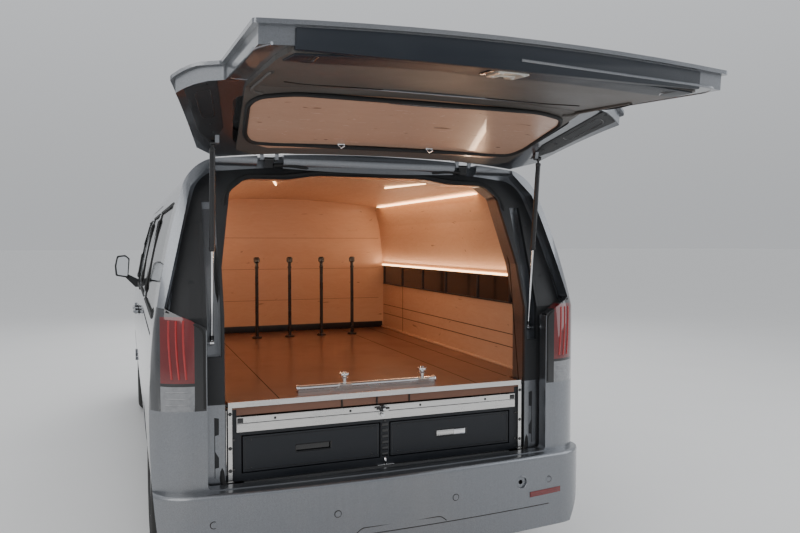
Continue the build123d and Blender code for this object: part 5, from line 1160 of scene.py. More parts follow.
@dataclass
class LoadSpace:
    """Panel joints, light strips, windows and fittings of the load space."""

    wall_x: float = 0.800
    window_z: Pair = (1.212, 1.346)
    window_y: Pair = (-1.640, 0.322)
    dividers: list[float] = field(default_factory=lambda: [0.298, -0.080, -0.452, -0.815, -1.24, -1.60])
    deck_top: float = 0.878
    partition_y: float = 0.330
    deck_joints: Pair = (-0.455, 0.455)

    def build(self) -> None:
        """Make each piece."""
        self.walls()
        self.light_strips()
        self.partition_trim()
        self.deck_lines()
        self.clamps()
        self.post_rings()
        self.upright_fixings()

    def walls(self) -> None:
        """Dark window band with posts, and the joints between the wall's boards."""
        shape = Shape()
        low, high = self.window_z
        rear, front = self.window_y
        x = self.wall_x
        shape.block((x - 0.0015, rear, low), (x + 0.001, front, high), 0.0)
        for y in self.dividers:
            shape.block((x - 0.006, y - 0.011, low), (x, y + 0.011, high), 0.001, 1)
        for z in (low, high):
            shape.block((x - 0.006, rear, z - 0.004), (x, front, z + 0.004), 0.0012, 1)
        shape.both_sides().piece("inner_window_band", [INK.gloss, INK.board], "body")
        shape = Shape()
        for z in (0.985, 1.052):
            shape.block((x - 0.0012, rear - 0.02, z - 0.0018), (x + 0.001, front, z + 0.0018), 0.0005)
        shape.block((x - 0.0012, -0.082, self.deck_top), (x + 0.001, -0.078, low - 0.005), 0.0005)
        skin = Skin(["side_linings"], -1)
        for y in (-0.08,):
            line = [(skin.depth(Axis.X, y, z) - 0.0006, y, z) for z in spread(1.362, 1.780, 12)]
            shape.hose(line, 0.0016)
        shape.both_sides().piece("wall_joints", [INK.groove], "body")
        shape = Shape()
        shape.block((x - 0.018, rear - 0.02, self.deck_top), (x, front + 0.006, self.deck_top + 0.012),
                    0.003)
        shape.both_sides().piece("wall_foot_strips", [INK.oak_along], "body")

    def light_strips(self) -> None:
        """Warm strips over the windows and in the ceiling, each in its channel, with their light."""
        shape = Shape()
        x = self.wall_x
        shape.block((x - 0.012, self.window_y[0], 1.350), (x - 0.001, self.window_y[1], 1.360), 0.001, 0)
        shape.block((x - 0.014, self.window_y[0] - 0.004, 1.3455), (x, self.window_y[1], 1.3505), 0.001, 1)
        shape.block((0.700, -1.363, 1.7805), (0.728, 0.195, 1.7865), 0.001, 0)
        shape.both_sides().piece("light_strips", [INK.strip, INK.stainless], "body")
        shape = Shape()
        roof = Skin(["ceiling_lining"], -1)
        for side in (-1, 1):
            level = roof.depth(Axis.Z, side * 0.345, -1.2)
            ends = ((0.303, -1.085), (0.391, -1.443))
            line = [(side * a, b, level - 0.003) for a, b in ends]
            shape.bar(line[0], line[1], 0.0045, 8, 0)
        shape.piece("ceiling_strips", [INK.strip], "body")
        for name, side in SIDES:
            Studio.lamp(f"wall_glow_{name}", (side * 0.775, -0.66, 1.368), (side * 0.66, -0.66, 1.70), 0.03,
                        2.4, (1.0, 0.72, 0.50), length=1.95)
            Studio.lamp(f"ceiling_glow_{name}", (side * 0.69, -0.6, 1.775), (side * 0.35, -0.6, 0.9), 0.05,
                        1.6, (1.0, 0.74, 0.53), length=1.5)
        Studio.lamp("deck_glow", (0.0, -0.85, 1.80), (0.0, -0.75, 0.9), 0.5, 3.4, (1.0, 0.76, 0.56),
                    length=1.3)

    def partition_trim(self) -> None:
        """Black skirting and board joints of the partition."""
        shape = Shape()
        y = self.partition_y
        shape.block((-0.79, y - 0.006, self.deck_top), (0.79, y, self.deck_top + 0.046), 0.002)
        shape.piece("partition_skirting", [INK.board], "body")
        shape = Shape()
        for z in (1.105, 1.330, 1.555):
            shape.block((-0.76, y - 0.0008, z - 0.0009), (0.76, y + 0.001, z + 0.0009), 0.0)
        shape.piece("partition_joints", [INK.groove], "body")

    def deck_lines(self) -> None:
        """Dark joints along the deck and the short marks at its loading edge."""
        shape = Shape()
        top = self.deck_top
        for x in self.deck_joints:
            shape.block((x - 0.002, -1.92, top - 0.001), (x + 0.002, self.partition_y - 0.006, top + 0.0006))
        for x in (-0.196, -0.040, 0.110):
            shape.block((x - 0.003, -1.9285, 0.826), (x + 0.003, -1.9245, 0.861), 0.0)
        shape.block((-0.668, -1.80, top - 0.001), (-0.664, self.partition_y - 0.006, top + 0.0006))
        shape.block((0.664, -1.80, top - 0.001), (0.668, self.partition_y - 0.006, top + 0.0006))
        shape.piece("deck_joints", [INK.groove], "body")

    def clamps(self) -> None:
        """Star knobs, washers and the bar's end caps of the bier clamp."""
        shape = Shape()
        y = -1.811
        for x in (-0.150, 0.219):
            base = self.deck_top + 0.052
            shape.lathe([(0.0, 0.016), (0.004, 0.017), (0.006, 0.009), (0.014, 0.009), (0.014, 0.0)],
                        (x, y, base - 0.002), (0, 0, 1), 24)
            for index in range(5):
                angle = math.tau * index / 5
                spot = (x + 0.012 * math.cos(angle), y + 0.012 * math.sin(angle), base + 0.010)
                shape.lathe([(0.0, 0.0), (0.0, 0.008), (0.003, 0.010), (0.010, 0.010), (0.013, 0.007),
                             (0.013, 0.0)], spot, (0, 0, 1), 14)
            shape.lathe([(0.0, 0.0), (0.0, 0.012), (0.012, 0.012), (0.018, 0.008), (0.018, 0.0)],
                        (x, y, base + 0.008), (0, 0, 1), 20)
        for x in (-0.360, 0.277):
            shape.bar((x - 0.006, y, self.deck_top + 0.0175), (x + 0.006, y, self.deck_top + 0.0175), 0.016,
                      24, edge=0.002)
        shape.bar((-0.355, y, self.deck_top + 0.0175), (0.272, y, self.deck_top + 0.0175), 0.0125, 24)
        shape.piece("clamp_fittings", [INK.bright], "body")

    def post_rings(self) -> None:
        """Foot screws and neck rings of the four stop posts."""
        shape = Shape()
        for x in (-0.218, 0.005, 0.228, 0.450):
            for index in range(3):
                angle = math.tau * index / 3 + 0.5
                spot = (x + 0.022 * math.cos(angle), 0.010 + 0.022 * math.sin(angle), self.deck_top + 0.009)
                shape.lathe([(0.0, 0.0045), (0.004, 0.0035), (0.0045, 0.0)], spot, (0, 0, 1), 12)
            shape.lathe([(0.0, 0.0125), (0.003, 0.014), (0.009, 0.014), (0.012, 0.0125)],
                        (x, 0.010, 1.348), (0, 0, 1), 24)
        shape.piece("post_fittings", [INK.enamel], "body")

    def upright_fixings(self) -> None:
        """Screws and angle plates of the two stainless uprights and the edge bar's brackets."""
        shape = Shape()
        y = -1.933
        for side in (-1, 1):
            for z in (0.610, 0.700, 0.838):
                shape.lathe([(0.0, 0.0075), (0.001, 0.0065), (0.0015, 0.0)], (side * 0.660, y, z),
                            (0, -1, 0), 16, finish=1)
            shape.block((side * 0.660 - 0.012, y - 0.004, 0.561), (side * 0.660 + 0.012, y + 0.012, 0.567),
                        0.001, 0)
            shape.bar((side * 0.670, y + 0.004, 0.874), (side * 0.684, y + 0.004, 0.874), 0.006, 16, 1)
        low, high = (-0.676, -1.925, 0.590), (-0.672, -1.850, 0.850)
        shape.block(low, high, 0.001, 0)
        shape.lathe([(0.0, 0.012), (0.004, 0.010), (0.004, 0.006), (0.001, 0.005), (0.001, 0.0)],
                    (-0.672, -1.902, 0.815), (1, 0, 0), 20, finish=2)
        shape.piece("upright_fixings", [INK.stainless, INK.gloss, INK.ring_blue], "body")


@dataclass
class Drawers:
    """Fronts, grips and latches of the drawers and the tray."""

    front_y: float = -1.917
    grip_x: float = 0.317
    grip_z: Pair = (0.655, 0.685)
    grip_half: float = 0.075

    def build(self) -> None:
        """Make each piece."""
        for name, side in SIDES:
            self.front(side, name)
        self.tray()
        self.case_edges()

    def front(self, side: int, name: str) -> None:
        """Grip frame, corner screws and edge bead of one drawer front."""
        shape = Shape()
        x = side * self.grip_x
        low, high = self.grip_z
        half = self.grip_half
        y = self.front_y
        frame_line = rounded_route([(x - half, y, low), (x + half, y, low), (x + half, y, high),
                                    (x - half, y, high)], 0.006, closed=True)
        shape.hose(frame_line, 0.0022, closed=True, finish=1)
        edge = rounded_route([(side * 0.034, y, 0.603), (side * 0.600, y, 0.603), (side * 0.600, y, 0.732),
                              (side * 0.034, y, 0.732)], 0.008, closed=True)
        shape.hose(edge, 0.0012, closed=True, finish=1)
        if side > 0:
            shape.block((x - half + 0.004, y + 0.001, low + 0.002),
                        (x + half - 0.004, y + 0.011, high - 0.002), 0.003, 2)
            # Brighter block over the right part of the silver plate: a painted highlight.
            shape.block((x + 0.012, y - 0.002, low + 0.003), (x + half - 0.006, y + 0.004, high - 0.003),
                        0.002, 3)
        else:
            shape.block((x - half + 0.002, y + 0.0095, low + 0.001),
                        (x + half - 0.002, y + 0.0115, high - 0.001), 0.0, 1)
        for dx in (0.060, 0.575):
            for z in (0.612, 0.724):
                shape.lathe([(0.0, 0.004), (0.0015, 0.003), (0.0015, 0.0)], (side * dx, y, z), (0, -1, 0), 10,
                            finish=1)
        shape.piece(f"drawer_front_{name}", [INK.board, INK.gloss, INK.stainless, INK.bright],
                    f"drawer_{name}")

    def tray(self) -> None:
        """Folded lips, end blocks and turning latch of the tray's front rail."""
        shape = Shape()
        y = -1.932
        for z in (0.794, 0.821):
            shape.block((-0.633, y - 0.0015, z - 0.0018), (0.633, y + 0.001, z + 0.0018), 0.0006, 0)
        shape.block((-0.633, y - 0.0012, 0.7955), (0.633, y, 0.798), 0.0, 1)
        for side in (-1, 1):
            shape.block((side * 0.620 - 0.012, y - 0.0015, 0.799), (side * 0.620 + 0.012, y + 0.002, 0.819), 0.001, 1)
            for x in (0.160, 0.480):
                shape.lathe([(0.0, 0.0055), (0.002, 0.0045), (0.003, 0.0)], (side * x, y, 0.809),
                            (0, -1, 0), 12, finish=1)
        x, z = -0.019, 0.811
        shape.lathe([(0.0, 0.016), (0.010, 0.015), (0.013, 0.011), (0.013, 0.0)], (x, y, z),
                    (0, -1, 0), 24, finish=1)
        shape.prism([(x - 0.030, z - 0.004), (x + 0.030, z - 0.004), (x + 0.030, z + 0.004),
                     (x - 0.030, z + 0.004)], Axis.Y, y - 0.012, y - 0.018, 0.002, 1, corner=0.002)
        shape.bar((x, y - 0.030, z), (x, y - 0.034, z), 0.006, 16, 2, edge=0.001)
        shape.bar((x - 0.001, y - 0.020, z - 0.028), (x - 0.001, y - 0.006, z - 0.028), 0.008, 16, 2,
                  edge=0.001)
        shape.piece("tray_fittings", [INK.stainless, INK.gloss, INK.bright], "loading_tray")

    def case_edges(self) -> None:
        """Hinge strip on the middle post and screws beside the drawers."""
        shape = Shape()
        y = self.front_y
        for z in spread(0.605, 0.735, 6):
            shape.block((-0.014, y - 0.004, z - 0.008), (0.014, y + 0.001, z + 0.008), 0.002)
        for x, z in ((0.644, 0.610), (0.644, 0.730), (0.0, 0.751)):
            for side in ((-1, 1) if x else (1,)):
                shape.lathe([(0.0, 0.006), (0.003, 0.005), (0.003, 0.0)], (side * x, y, z), (0, -1, 0), 12)
        shape.piece("case_fittings", [INK.gloss], "body")


@dataclass
class Lamps:
    """Tail lamps and headlamps, cut from the solids' own outlines into their lenses."""

    bezel_x: float = 0.800
    outer_x: float = 0.922
    foot_z: float = 0.972
    bar_xs: tuple[float, ...] = (0.830, 0.856, 0.882)

    def build(self) -> None:
        """Make each piece."""
        self.tail()
        self.head()

    def tail(self) -> None:
        """Red lens over light bars, with a clear foot and a black inner edge."""
        shape = Shape.of("tail_lamps")
        for side in (-1, 1):
            shape.cut((side * self.bezel_x, 0, 0), (1, 0, 0))
            shape.cut((side * self.outer_x, 0, 0), (1, 0, 0))
        for z in (self.foot_z, self.foot_z + 0.012, 1.238):
            shape.cut((0, 0, z), (0, 0, 1))
        shape.tint(lambda spot: self.foot_z < spot.z < self.foot_z + 0.012, 1)
        shape.tint(lambda spot: spot.z < self.foot_z, 2)
        shape.tint(lambda spot: spot.z > 1.238, 3)
        shape.tint(lambda spot: abs(spot.x) > self.outer_x, 3)
        shape.tint(lambda spot: abs(spot.x) < self.bezel_x, 1)
        shape.piece("tail_lamp_lenses", [INK.lens_red, INK.gloss, INK.lens_white, INK.lens_smoke], "body",
                    ["tail_lamps"])
        skin = Skin(["tail_lamps"], -1)
        shape = Shape()
        for x in self.bar_xs:
            line = [(x + 0.010 * math.sin((z - 1.0) * 9), 0.0, z) for z in spread(1.000, 1.225, 9)]
            shape.hose([(a, skin.depth(Axis.Y, a, z) + 0.0005, z) for a, _, z in line], 0.0045, finish=0)
        line = [(0.818, 0.0, 0.925), (0.905, 0.0, 0.925)]
        for z in (0.900, 0.925, 0.950):
            shape.hose([(x, skin.depth(Axis.Y, x, z) + 0.0005, z) for x in spread(0.815, 0.905, 6)],
                       0.0022, finish=3)
        edge = [(0.764, 0.884), (0.764, 1.190), (0.900, 1.258)]
        shape.hose([(x, skin.depth(Axis.Y, x, z) - 0.0005, z)
                    for x, _, z in rounded_route([(x, 0.0, z) for x, z in edge], 0.03)], 0.004, finish=2)
        shape.both_sides().piece("tail_lamp_bars", [INK.lens_bar, INK.bright, INK.rubber, INK.lens_white], "body")

    def head(self) -> None:
        """Smoked headlamp lens over projectors, a white light line and an amber corner."""
        shape = Shape.of("headlamps")
        shape.piece("headlamp_lenses", [INK.lens_smoke], "body", ["headlamps"])
        skin = Skin(["headlamps"], 1)
        shape = Shape()
        for x, z, size in ((0.640, 0.845, 0.040), (0.745, 0.850, 0.040)):
            depth = skin.depth(Axis.Y, x, z)
            shape.lathe([(0.0, size), (0.004, size), (0.005, size - 0.005), (0.001, size - 0.009),
                         (0.002, 0.0)], (x, depth - 0.001, z), (0.25, 1, 0.2), 32, finish=0)
        line = [(0.575, 0.935), (0.640, 0.938), (0.780, 0.920), (0.870, 0.880)]
        route = rounded_route([(x, 0.0, z) for x, z in line], 0.04)
        shape.hose([(x, skin.depth(Axis.Y, x, z) + 0.001, z) for x, _, z in route], 0.006, finish=1)
        line = [(0.580, 0.735), (0.700, 0.735), (0.840, 0.765)]
        shape.hose([(x, skin.depth(Axis.Y, x, z) + 0.001, z) for x, z in line], 0.005, finish=2)
        shape.both_sides().piece("headlamp_optics", [INK.bright, INK.lens_white, INK.lens_amber], "body")


@dataclass
class Wheels:
    """Tyres with tread, wheel nuts, hub caps, valves and brake calipers."""

    radius: float = 0.339
    half: float = 0.1125
    rim: float = 0.216
    centre_x: float = 0.830
    axles: tuple[tuple[str, float], ...] = (("front", 2.155), ("rear", -1.045))
    pitches: int = 62
    groove: float = 0.007
    ribs: tuple[Pair, ...] = ((-0.082, -0.052), (-0.045, -0.017), (-0.010, 0.010), (0.017, 0.045),
                              (0.052, 0.082))

    def build(self) -> None:
        """Dress the four wheels."""
        for place, y in self.axles:
            for name, side in SIDES:
                self.tyre(place, y, name, side)
                self.fittings(place, y, name, side)
        self.calipers()

    def tyre(self, place: str, y: float, name: str, side: int) -> None:
        """Tyre with a moulded sidewall and blocks round its tread."""
        shape = Shape()
        centre = (side * self.centre_x, y, self.radius)
        r, h, low = self.radius, self.half, self.radius - self.groove
        right = [(0.0, low), (0.070, low), (0.084, low - 0.001), (0.0905, r - 0.012), (0.1035, r - 0.026),
                 (0.1105, r - 0.040), (0.1115, 0.285), (0.1125, 0.282), (0.1125, 0.268), (0.1110, 0.265),
                 (0.1090, 0.250), (0.1080, 0.246), (0.1040, 0.230), (0.0960, 0.2165), (0.0900, self.rim)]
        profile = [(-a, b) for a, b in reversed(right[1:])] + right
        profile.append(profile[0])
        shape.lathe(profile, centre, ACROSS, 72)
        for index in range(self.pitches):
            angle = math.tau * index / self.pitches
            for rib, (start, stop) in enumerate(self.ribs):
                turn = angle + (rib % 2) * math.pi / self.pitches
                outer = abs(rib - 2) == 2
                top = r - (0.0015 if outer else 0.0)
                width = r * math.pi / self.pitches * (0.80 if outer else 0.86)
                skew = 0.006 * (rib - 2)
                corners = [(start, -width + skew), (stop, -width - skew), (stop, width - skew),
                           (start, width + skew)]
                self.block(shape, centre, turn, corners, low - 0.002, top)
        shape.piece(f"tread_{place}_{name}", [INK.tyre], f"wheel_{place}_{name}", [f"tyre_{place}_{name}"])

    @staticmethod
    def block(shape: "Shape", centre: Triple, turn: float, corners: Sequence[Pair], low: float,
              top: float) -> None:
        """One tread block, standing on the carcass and turned to its place.

        Args:
            shape: the mesh that it joins.
            centre: the wheel's centre.
            turn: its place round the wheel, as an angle.
            corners: its corners, as pairs across the tread and along it.
            low: radius of its foot.
            top: radius of its face.
        """
        verts = [shape.bm.verts.new((a, b * low / top, low)) for a, b in corners]
        face = shape.bm.faces.new(verts)
        made = bmesh.ops.extrude_discrete_faces(shape.bm, faces=[face])["faces"][0]
        for vert, (a, b) in zip(made.verts, corners):
            vert.co = (a, b, math.sqrt(top * top - b * b))
        group = list({v for v in verts if v.is_valid} | set(made.verts))
        bmesh.ops.transform(shape.bm, verts=group,
                            matrix=Matrix.Translation(centre) @ Matrix.Rotation(turn, 4, "X"))

    def fittings(self, place: str, y: float, name: str, side: int) -> None:
        """Five nuts, a plain cap, a valve and the rim's bright lip."""
        shape = Shape()
        z = self.radius
        hub = side * 0.906
        for index in range(5):
            angle = math.tau * (index + 0.5) / 5
            spot = (hub - side * 0.001, y + 0.056 * math.cos(angle), z + 0.056 * math.sin(angle))
            tip = (spot[0] + side * 0.010, spot[1], spot[2])
            shape.bar(spot, tip, 0.011, 6, 0, edge=0.0015)
        shape.lathe([(0.0, 0.034), (0.005, 0.033), (0.008, 0.026), (0.009, 0.012), (0.009, 0.0)],
                    (hub - side * 0.001, y, z), (side, 0, 0), 32, finish=1)
        lip = 0.2145
        shape.lathe([(-0.004, lip - 0.006), (0.004, lip - 0.005), (0.0055, lip), (0.004, lip + 0.003),
                     (-0.004, lip + 0.003), (-0.004, lip - 0.006)],
                    (side * 0.9255, y, z), (side, 0, 0), 72, finish=2)
        foot = (side * 0.915, y, z - 0.196)
        shape.bar(foot, (side * 0.938, y, z - 0.190), 0.004, 10, 1, edge=0.0008)
        shape.piece(f"wheel_fittings_{place}_{name}", [INK.bright, INK.gloss, INK.alloy],
                    f"wheel_{place}_{name}")

    def calipers(self) -> None:
        """Brake caliper over each front disc, carried by its knuckle."""
        for name, side in SIDES:
            shape = Shape()
            y, z = self.axles[0][1] + 0.118, self.radius + 0.078
            x = side * 0.812
            shape.block((x - 0.034, y - 0.034, z - 0.058), (x + 0.034, y + 0.026, z + 0.058), 0.012, 0)
            shape.bar((x - side * 0.030, y - 0.02, z - 0.03), (x - side * 0.052, y - 0.02, z - 0.03), 0.020,
                      20, 0, edge=0.003)
            shape.bar((x - side * 0.030, y - 0.02, z + 0.028), (x - side * 0.052, y - 0.02, z + 0.028),
                      0.020, 20, 0, edge=0.003)
            shape.piece(f"caliper_{name}", [INK.iron], f"knuckle_{name}")


@dataclass
class BodyDetails:
    """Handles, seals, sensors, reflectors and seams of the shell."""

    sensors: tuple[Pair, ...] = ((0.739, 0.449), (0.260, 0.437))
    reflector: tuple[float, float, float, float] = (0.637, 0.804, 0.381, 0.408)
    seam: float = 0.0022

    def build(self) -> None:
        """Make each piece."""
        self.rear_skin = Skin(["rear_bumper"], -1)
        self.rear_marks()
        self.handles()
        self.window_seals()
        self.side_seams()
        self.roof_strips()
        self.mirror_glass()
        self.strut_details()
        self.pocket_shade_sheets()
        self.gate_rest()
        self.jamb_liners()

    def rear_marks(self) -> None:
        """Reflectors, parking sensors and the towing cover's seam on the rear bumper."""
        skin = self.rear_skin
        shape = Shape()
        x0, x1, z0, z1 = self.reflector
        outline = [(x0, z0), (x1, z0 + 0.003), (x1, z1), (x0, z1 - 0.003)]
        shape.wrapped(outline, Axis.Y, skin, -0.002, 0.006, cell=0.03, edge=0.0015)
        shape.both_sides().piece("rear_reflectors", [INK.lens_red], "body")
        shape = Shape()
        for x, z in self.sensors:
            depth = skin.depth(Axis.Y, x, z)
            shape.lathe([(0.0, 0.0125), (0.0015, 0.012), (0.0018, 0.010), (0.0012, 0.0095), (0.0016, 0.0)],
                        (x, depth, z), (0, -1, 0), 28)
            shape.lathe([(-0.001, 0.0125), (0.0006, 0.0125), (0.0006, 0.0150), (-0.001, 0.0150)],
                        (x, depth, z), (0, -1, 0), 28, finish=1)
        shape.both_sides().piece("rear_sensors", [INK.paint, INK.groove], "body")
        shape = Shape()
        line = [(-0.186, 0.345), (-0.160, 0.366), (0.190, 0.366), (0.216, 0.345)]
        route = rounded_route([(x, 0.0, z) for x, z in line], 0.02)
        shape.hose([(x, skin.depth(Axis.Y, x, z) + 0.0008, z) for x, _, z in route], self.seam)
        line = [(x, 0.338) for x in spread(-0.74, 0.74, 25)]
        shape.hose([(x, skin.depth(Axis.Y, x, z) + 0.0008, z) for x, z in line], self.seam)
        shape.piece("rear_bumper_seams", [INK.groove], "body")
        shape = Shape()
        depth = skin.depth(Axis.Y, 0.590, 0.455 + 0.035)
        shape.lathe([(0.0, 0.029), (0.0015, 0.029), (0.0022, 0.0275), (0.0012, 0.0265), (0.0, 0.0265)],
                    (0.590, depth, 0.455), (0, -1, 0), 36)
        shape.piece("tow_seat_ring", [INK.paint], "body")

    def handles(self) -> None:
        """Pull handles with their dished seats on the front and the sliding doors."""
        for name, side in SIDES:
            for label, nodes, body, y in (("front", [f"door_{name}"], f"door_{name}", 0.790),
                                          ("slide", ["sliding_doors"], "body", 0.520)):
                skin = Skin(nodes, side)
                shape = Shape()
                z = 1.045
                outline = [(y - 0.100, z - 0.022), (y + 0.100, z - 0.022), (y + 0.100, z + 0.022),
                           (y - 0.100, z + 0.022)]
                seat = [(a, b) for a, b, _ in rounded_route([(a, b, 0.0) for a, b in outline], 0.016,
                                                            closed=True)]
                shape.wrapped(seat, Axis.X, skin, 0.0002, 0.0012, cell=0.08, finish=1)
                base = skin.depth(Axis.X, y, z)
                grip = [(base + side * d, b, z) for b, d in ((y - 0.105, 0.002), (y - 0.088, 0.030),
                                                             (y + 0.088, 0.030), (y + 0.105, 0.002))]
                shape.hose(rounded_route(grip, 0.02), 0.0105, finish=0)
                shape.lathe([(0.0, 0.008), (0.002, 0.007), (0.001, 0.0)], (base, y + 0.128, z), (side, 0, 0),
                            16, finish=0)
                shape.piece(f"handle_{label}_{name}", [INK.paint, INK.gloss], body)

    def window_seals(self) -> None:
        """Rubber round each side window and the belt strip under the front ones."""
        loops = {
            "quarter": ["side_panels"], "slide": ["sliding_doors"], "rear": ["side_panels"],
        }
        outlines = {
            "quarter": [(1.765, 1.225), (2.020, 1.225), (1.765, 1.440)],
            "slide": [(-0.350, 1.205), (0.590, 1.205), (0.590, 1.690), (-0.350, 1.690)],
            "rear": [(-1.680, 1.205), (-0.480, 1.205), (-0.480, 1.690), (-1.600, 1.690)],
        }
        shape = Shape()
        for key, points in outlines.items():
            skin = Skin(loops[key] + ["side_windows"], 1)
            route = rounded_route([(0.0, y, z) for y, z in points], 0.05, closed=True)
            shape.hose([(skin.depth(Axis.X, y, z) - 0.001, y, z) for _, y, z in route], 0.0065, closed=True)
        shape.both_sides().piece("side_window_seals", [INK.rubber], "body")
        glass = [(0.740, 1.192), (1.655, 1.192), (1.655, 1.470), (1.490, 1.680), (0.740, 1.680)]
        for name, side in SIDES:
            skin = Skin([f"door_{name}", f"door_glass_{name}"], side)
            shape = Shape()
            route = rounded_route([(0.0, y, z) for y, z in glass], 0.05, closed=True)
            shape.hose([(skin.depth(Axis.X, y, z) - side * 0.001, y, z) for _, y, z in route], 0.006,
                       closed=True)
            belt = [(skin.depth(Axis.X, y, 1.186) + side * 0.001, y, 1.186) for y in spread(0.70, 1.68, 9)]
            shape.hose(belt, 0.006)
            shape.piece(f"door_seal_{name}", [INK.rubber], f"door_{name}")
        skin = Skin(["roof_panel", "windscreen", "side_panels", "cowl_panel"], 1)
        screen = [(0.0, 1.800), (0.640, 1.790), (0.752, 1.220), (0.0, 1.218)]
        route = [(x, 0.0, z) for x, z in screen] + [(-0.752, 0.0, 1.220), (-0.640, 0.0, 1.790)]
        points = rounded_route(route, 0.03, closed=True)
        shape = Shape()
        shape.hose([(x, skin.depth(Axis.Y, x, z) - 0.001, z) for x, _, z in points], 0.006, closed=True)
        shape.piece("screen_seal", [INK.rubber], "body")

    def side_seams(self) -> None:
        """Fuel flap, sill step and door protection lines."""
        skin = Skin(["side_panels", "sliding_doors"], 1)
        shape = Shape()
        flap = rounded_route([(0.0, -0.70, 0.90), (0.0, -0.52, 0.90), (0.0, -0.52, 1.07), (0.0, -0.70, 1.07)],
                             0.03, closed=True)
        shape.hose([(skin.depth(Axis.X, y, z) + 0.0005, y, z) for _, y, z in flap], self.seam, closed=True)
        shape.piece("fuel_flap_seam", [INK.groove], "body")
        shape = Shape()
        shape.wrapped([(-0.42, 0.262), (1.70, 0.262), (1.70, 0.300), (-0.42, 0.300)], Axis.X, skin, 0.0,
                      0.006, cell=0.20, edge=0.002)
        shape.both_sides().piece("sill_strips", [INK.plastic], "body")

    def roof_strips(self) -> None:
        """Black strips in the roof's two ditches."""
        skin = Skin(["roof_panel"], 1)
        shape = Shape()
        line = [(0.735, y, skin.depth(Axis.Z, 0.735, y)) for y in spread(-1.62, 1.18, 24)]
        shape.hose([(x, y, z - 0.001) for x, y, z in line], 0.0055)
        shape.both_sides().piece("roof_strips", [INK.rubber], "body")

    def mirror_glass(self) -> None:
        """Mirror glass and the turn lamp on each mirror's head."""
        for name, side in SIDES:
            rear = Skin([f"mirror_{name}"], -1)
            front = Skin([f"mirror_{name}"], 1)
            shape = Shape()
            face = [(1.026, 1.243), (1.104, 1.257), (1.110, 1.330), (1.096, 1.400), (1.042, 1.407),
                    (1.017, 1.384)]
            rounded = [(side * x, z) for x, _, z in rounded_route([(x, 0.0, z) for x, z in face], 0.012,
                                                                  closed=True)]
            shape.wrapped(rounded, Axis.Y, rear, 0.0, 0.002, cell=0.2, finish=0)
            line = [(side * x, front.depth(Axis.Y, side * x, 1.30) + 0.001, 1.30)
                    for x in spread(1.045, 1.108, 5)]
            shape.hose(line, 0.004, finish=1)
            shape.piece(f"mirror_glass_{name}", [INK.mirror, INK.lens_amber], f"door_{name}")

    def strut_details(self) -> None:
        """Collars, seals and ball-joint clips of the gas struts."""
        top, foot = Vector((0.0, -1.979, 1.904)), Vector((0.0, -1.895, 1.122))
        way = (foot - top).normalized()
        for name, side in SIDES:
            x = Vector((side * 0.724, 0, 0))
            neck, mouth = top + way * 0.020 + x, top + way * 0.420 + x
            shape = Shape()
            shape.lathe([(0.0, 0.0112), (0.001, 0.0125), (0.012, 0.0125), (0.014, 0.0112)],
                        tuple(mouth - way * 0.016), tuple(way), 28, finish=0)
            shape.lathe([(0.0, 0.0112), (0.001, 0.0122), (0.008, 0.0122), (0.010, 0.0112)],
                        tuple(neck + way * 0.004), tuple(way), 28, finish=0)
            shape.piece(f"strut_collars_{name}", [INK.enamel], f"strut_cylinder_{name}")
            shape = Shape()
            eye = foot + x
            shape.lathe([(0.0, 0.0052), (0.001, 0.0085), (0.016, 0.0085), (0.018, 0.0052)],
                        tuple(eye - way * 0.030), tuple(way), 24, finish=0)
            shape.piece(f"strut_end_{name}", [INK.enamel], f"strut_rod_{name}")

    def pocket_shade_sheets(self) -> None:
        """Thin black sheets at the backs of the strut pockets, painting the shade in the pockets that the struts fold
        into.
        """
        shape = Shape()
        back = [(-1.8655, 1.072), (-1.8425, 1.222), (-1.7430, 1.640)]
        strip = back + [(y - 0.0015, z) for y, z in reversed(back)]
        shape.prism(strip, Axis.X, 0.693, 0.745, 0.0)
        shape.both_sides().piece("pocket_shade_sheets", [INK.plastic], "body")

    def jamb_liners(self) -> None:
        """Black liners down the inner half of the painted jambs."""
        skin = Skin(["rear_frame"], -1)
        shape = Shape()
        shape.wrapped([(0.678, 0.566), (0.722, 0.590), (0.722, 0.892), (0.678, 0.892)], Axis.Y, skin,
                      0.0002, 0.0010, cell=0.08, edge=0.0002)
        shape.both_sides().piece("jamb_liners", [INK.plastic], "body")

    def gate_rest(self) -> None:
        """Rubber stops that the shut tailgate rests on, on the pillar covers."""
        skin = Skin(["pillar_covers", "rear_frame"], -1)
        shape = Shape()
        depth = skin.depth(Axis.Y, 0.770, 0.885)
        shape.lathe([(0.0, 0.011), (0.003, 0.010), (0.0035, 0.004), (0.0035, 0.0)], (0.770, depth, 0.885),
                    (0, -1, 0), 20)
        shape.both_sides().piece("rest_stops", [INK.rubber], "body")


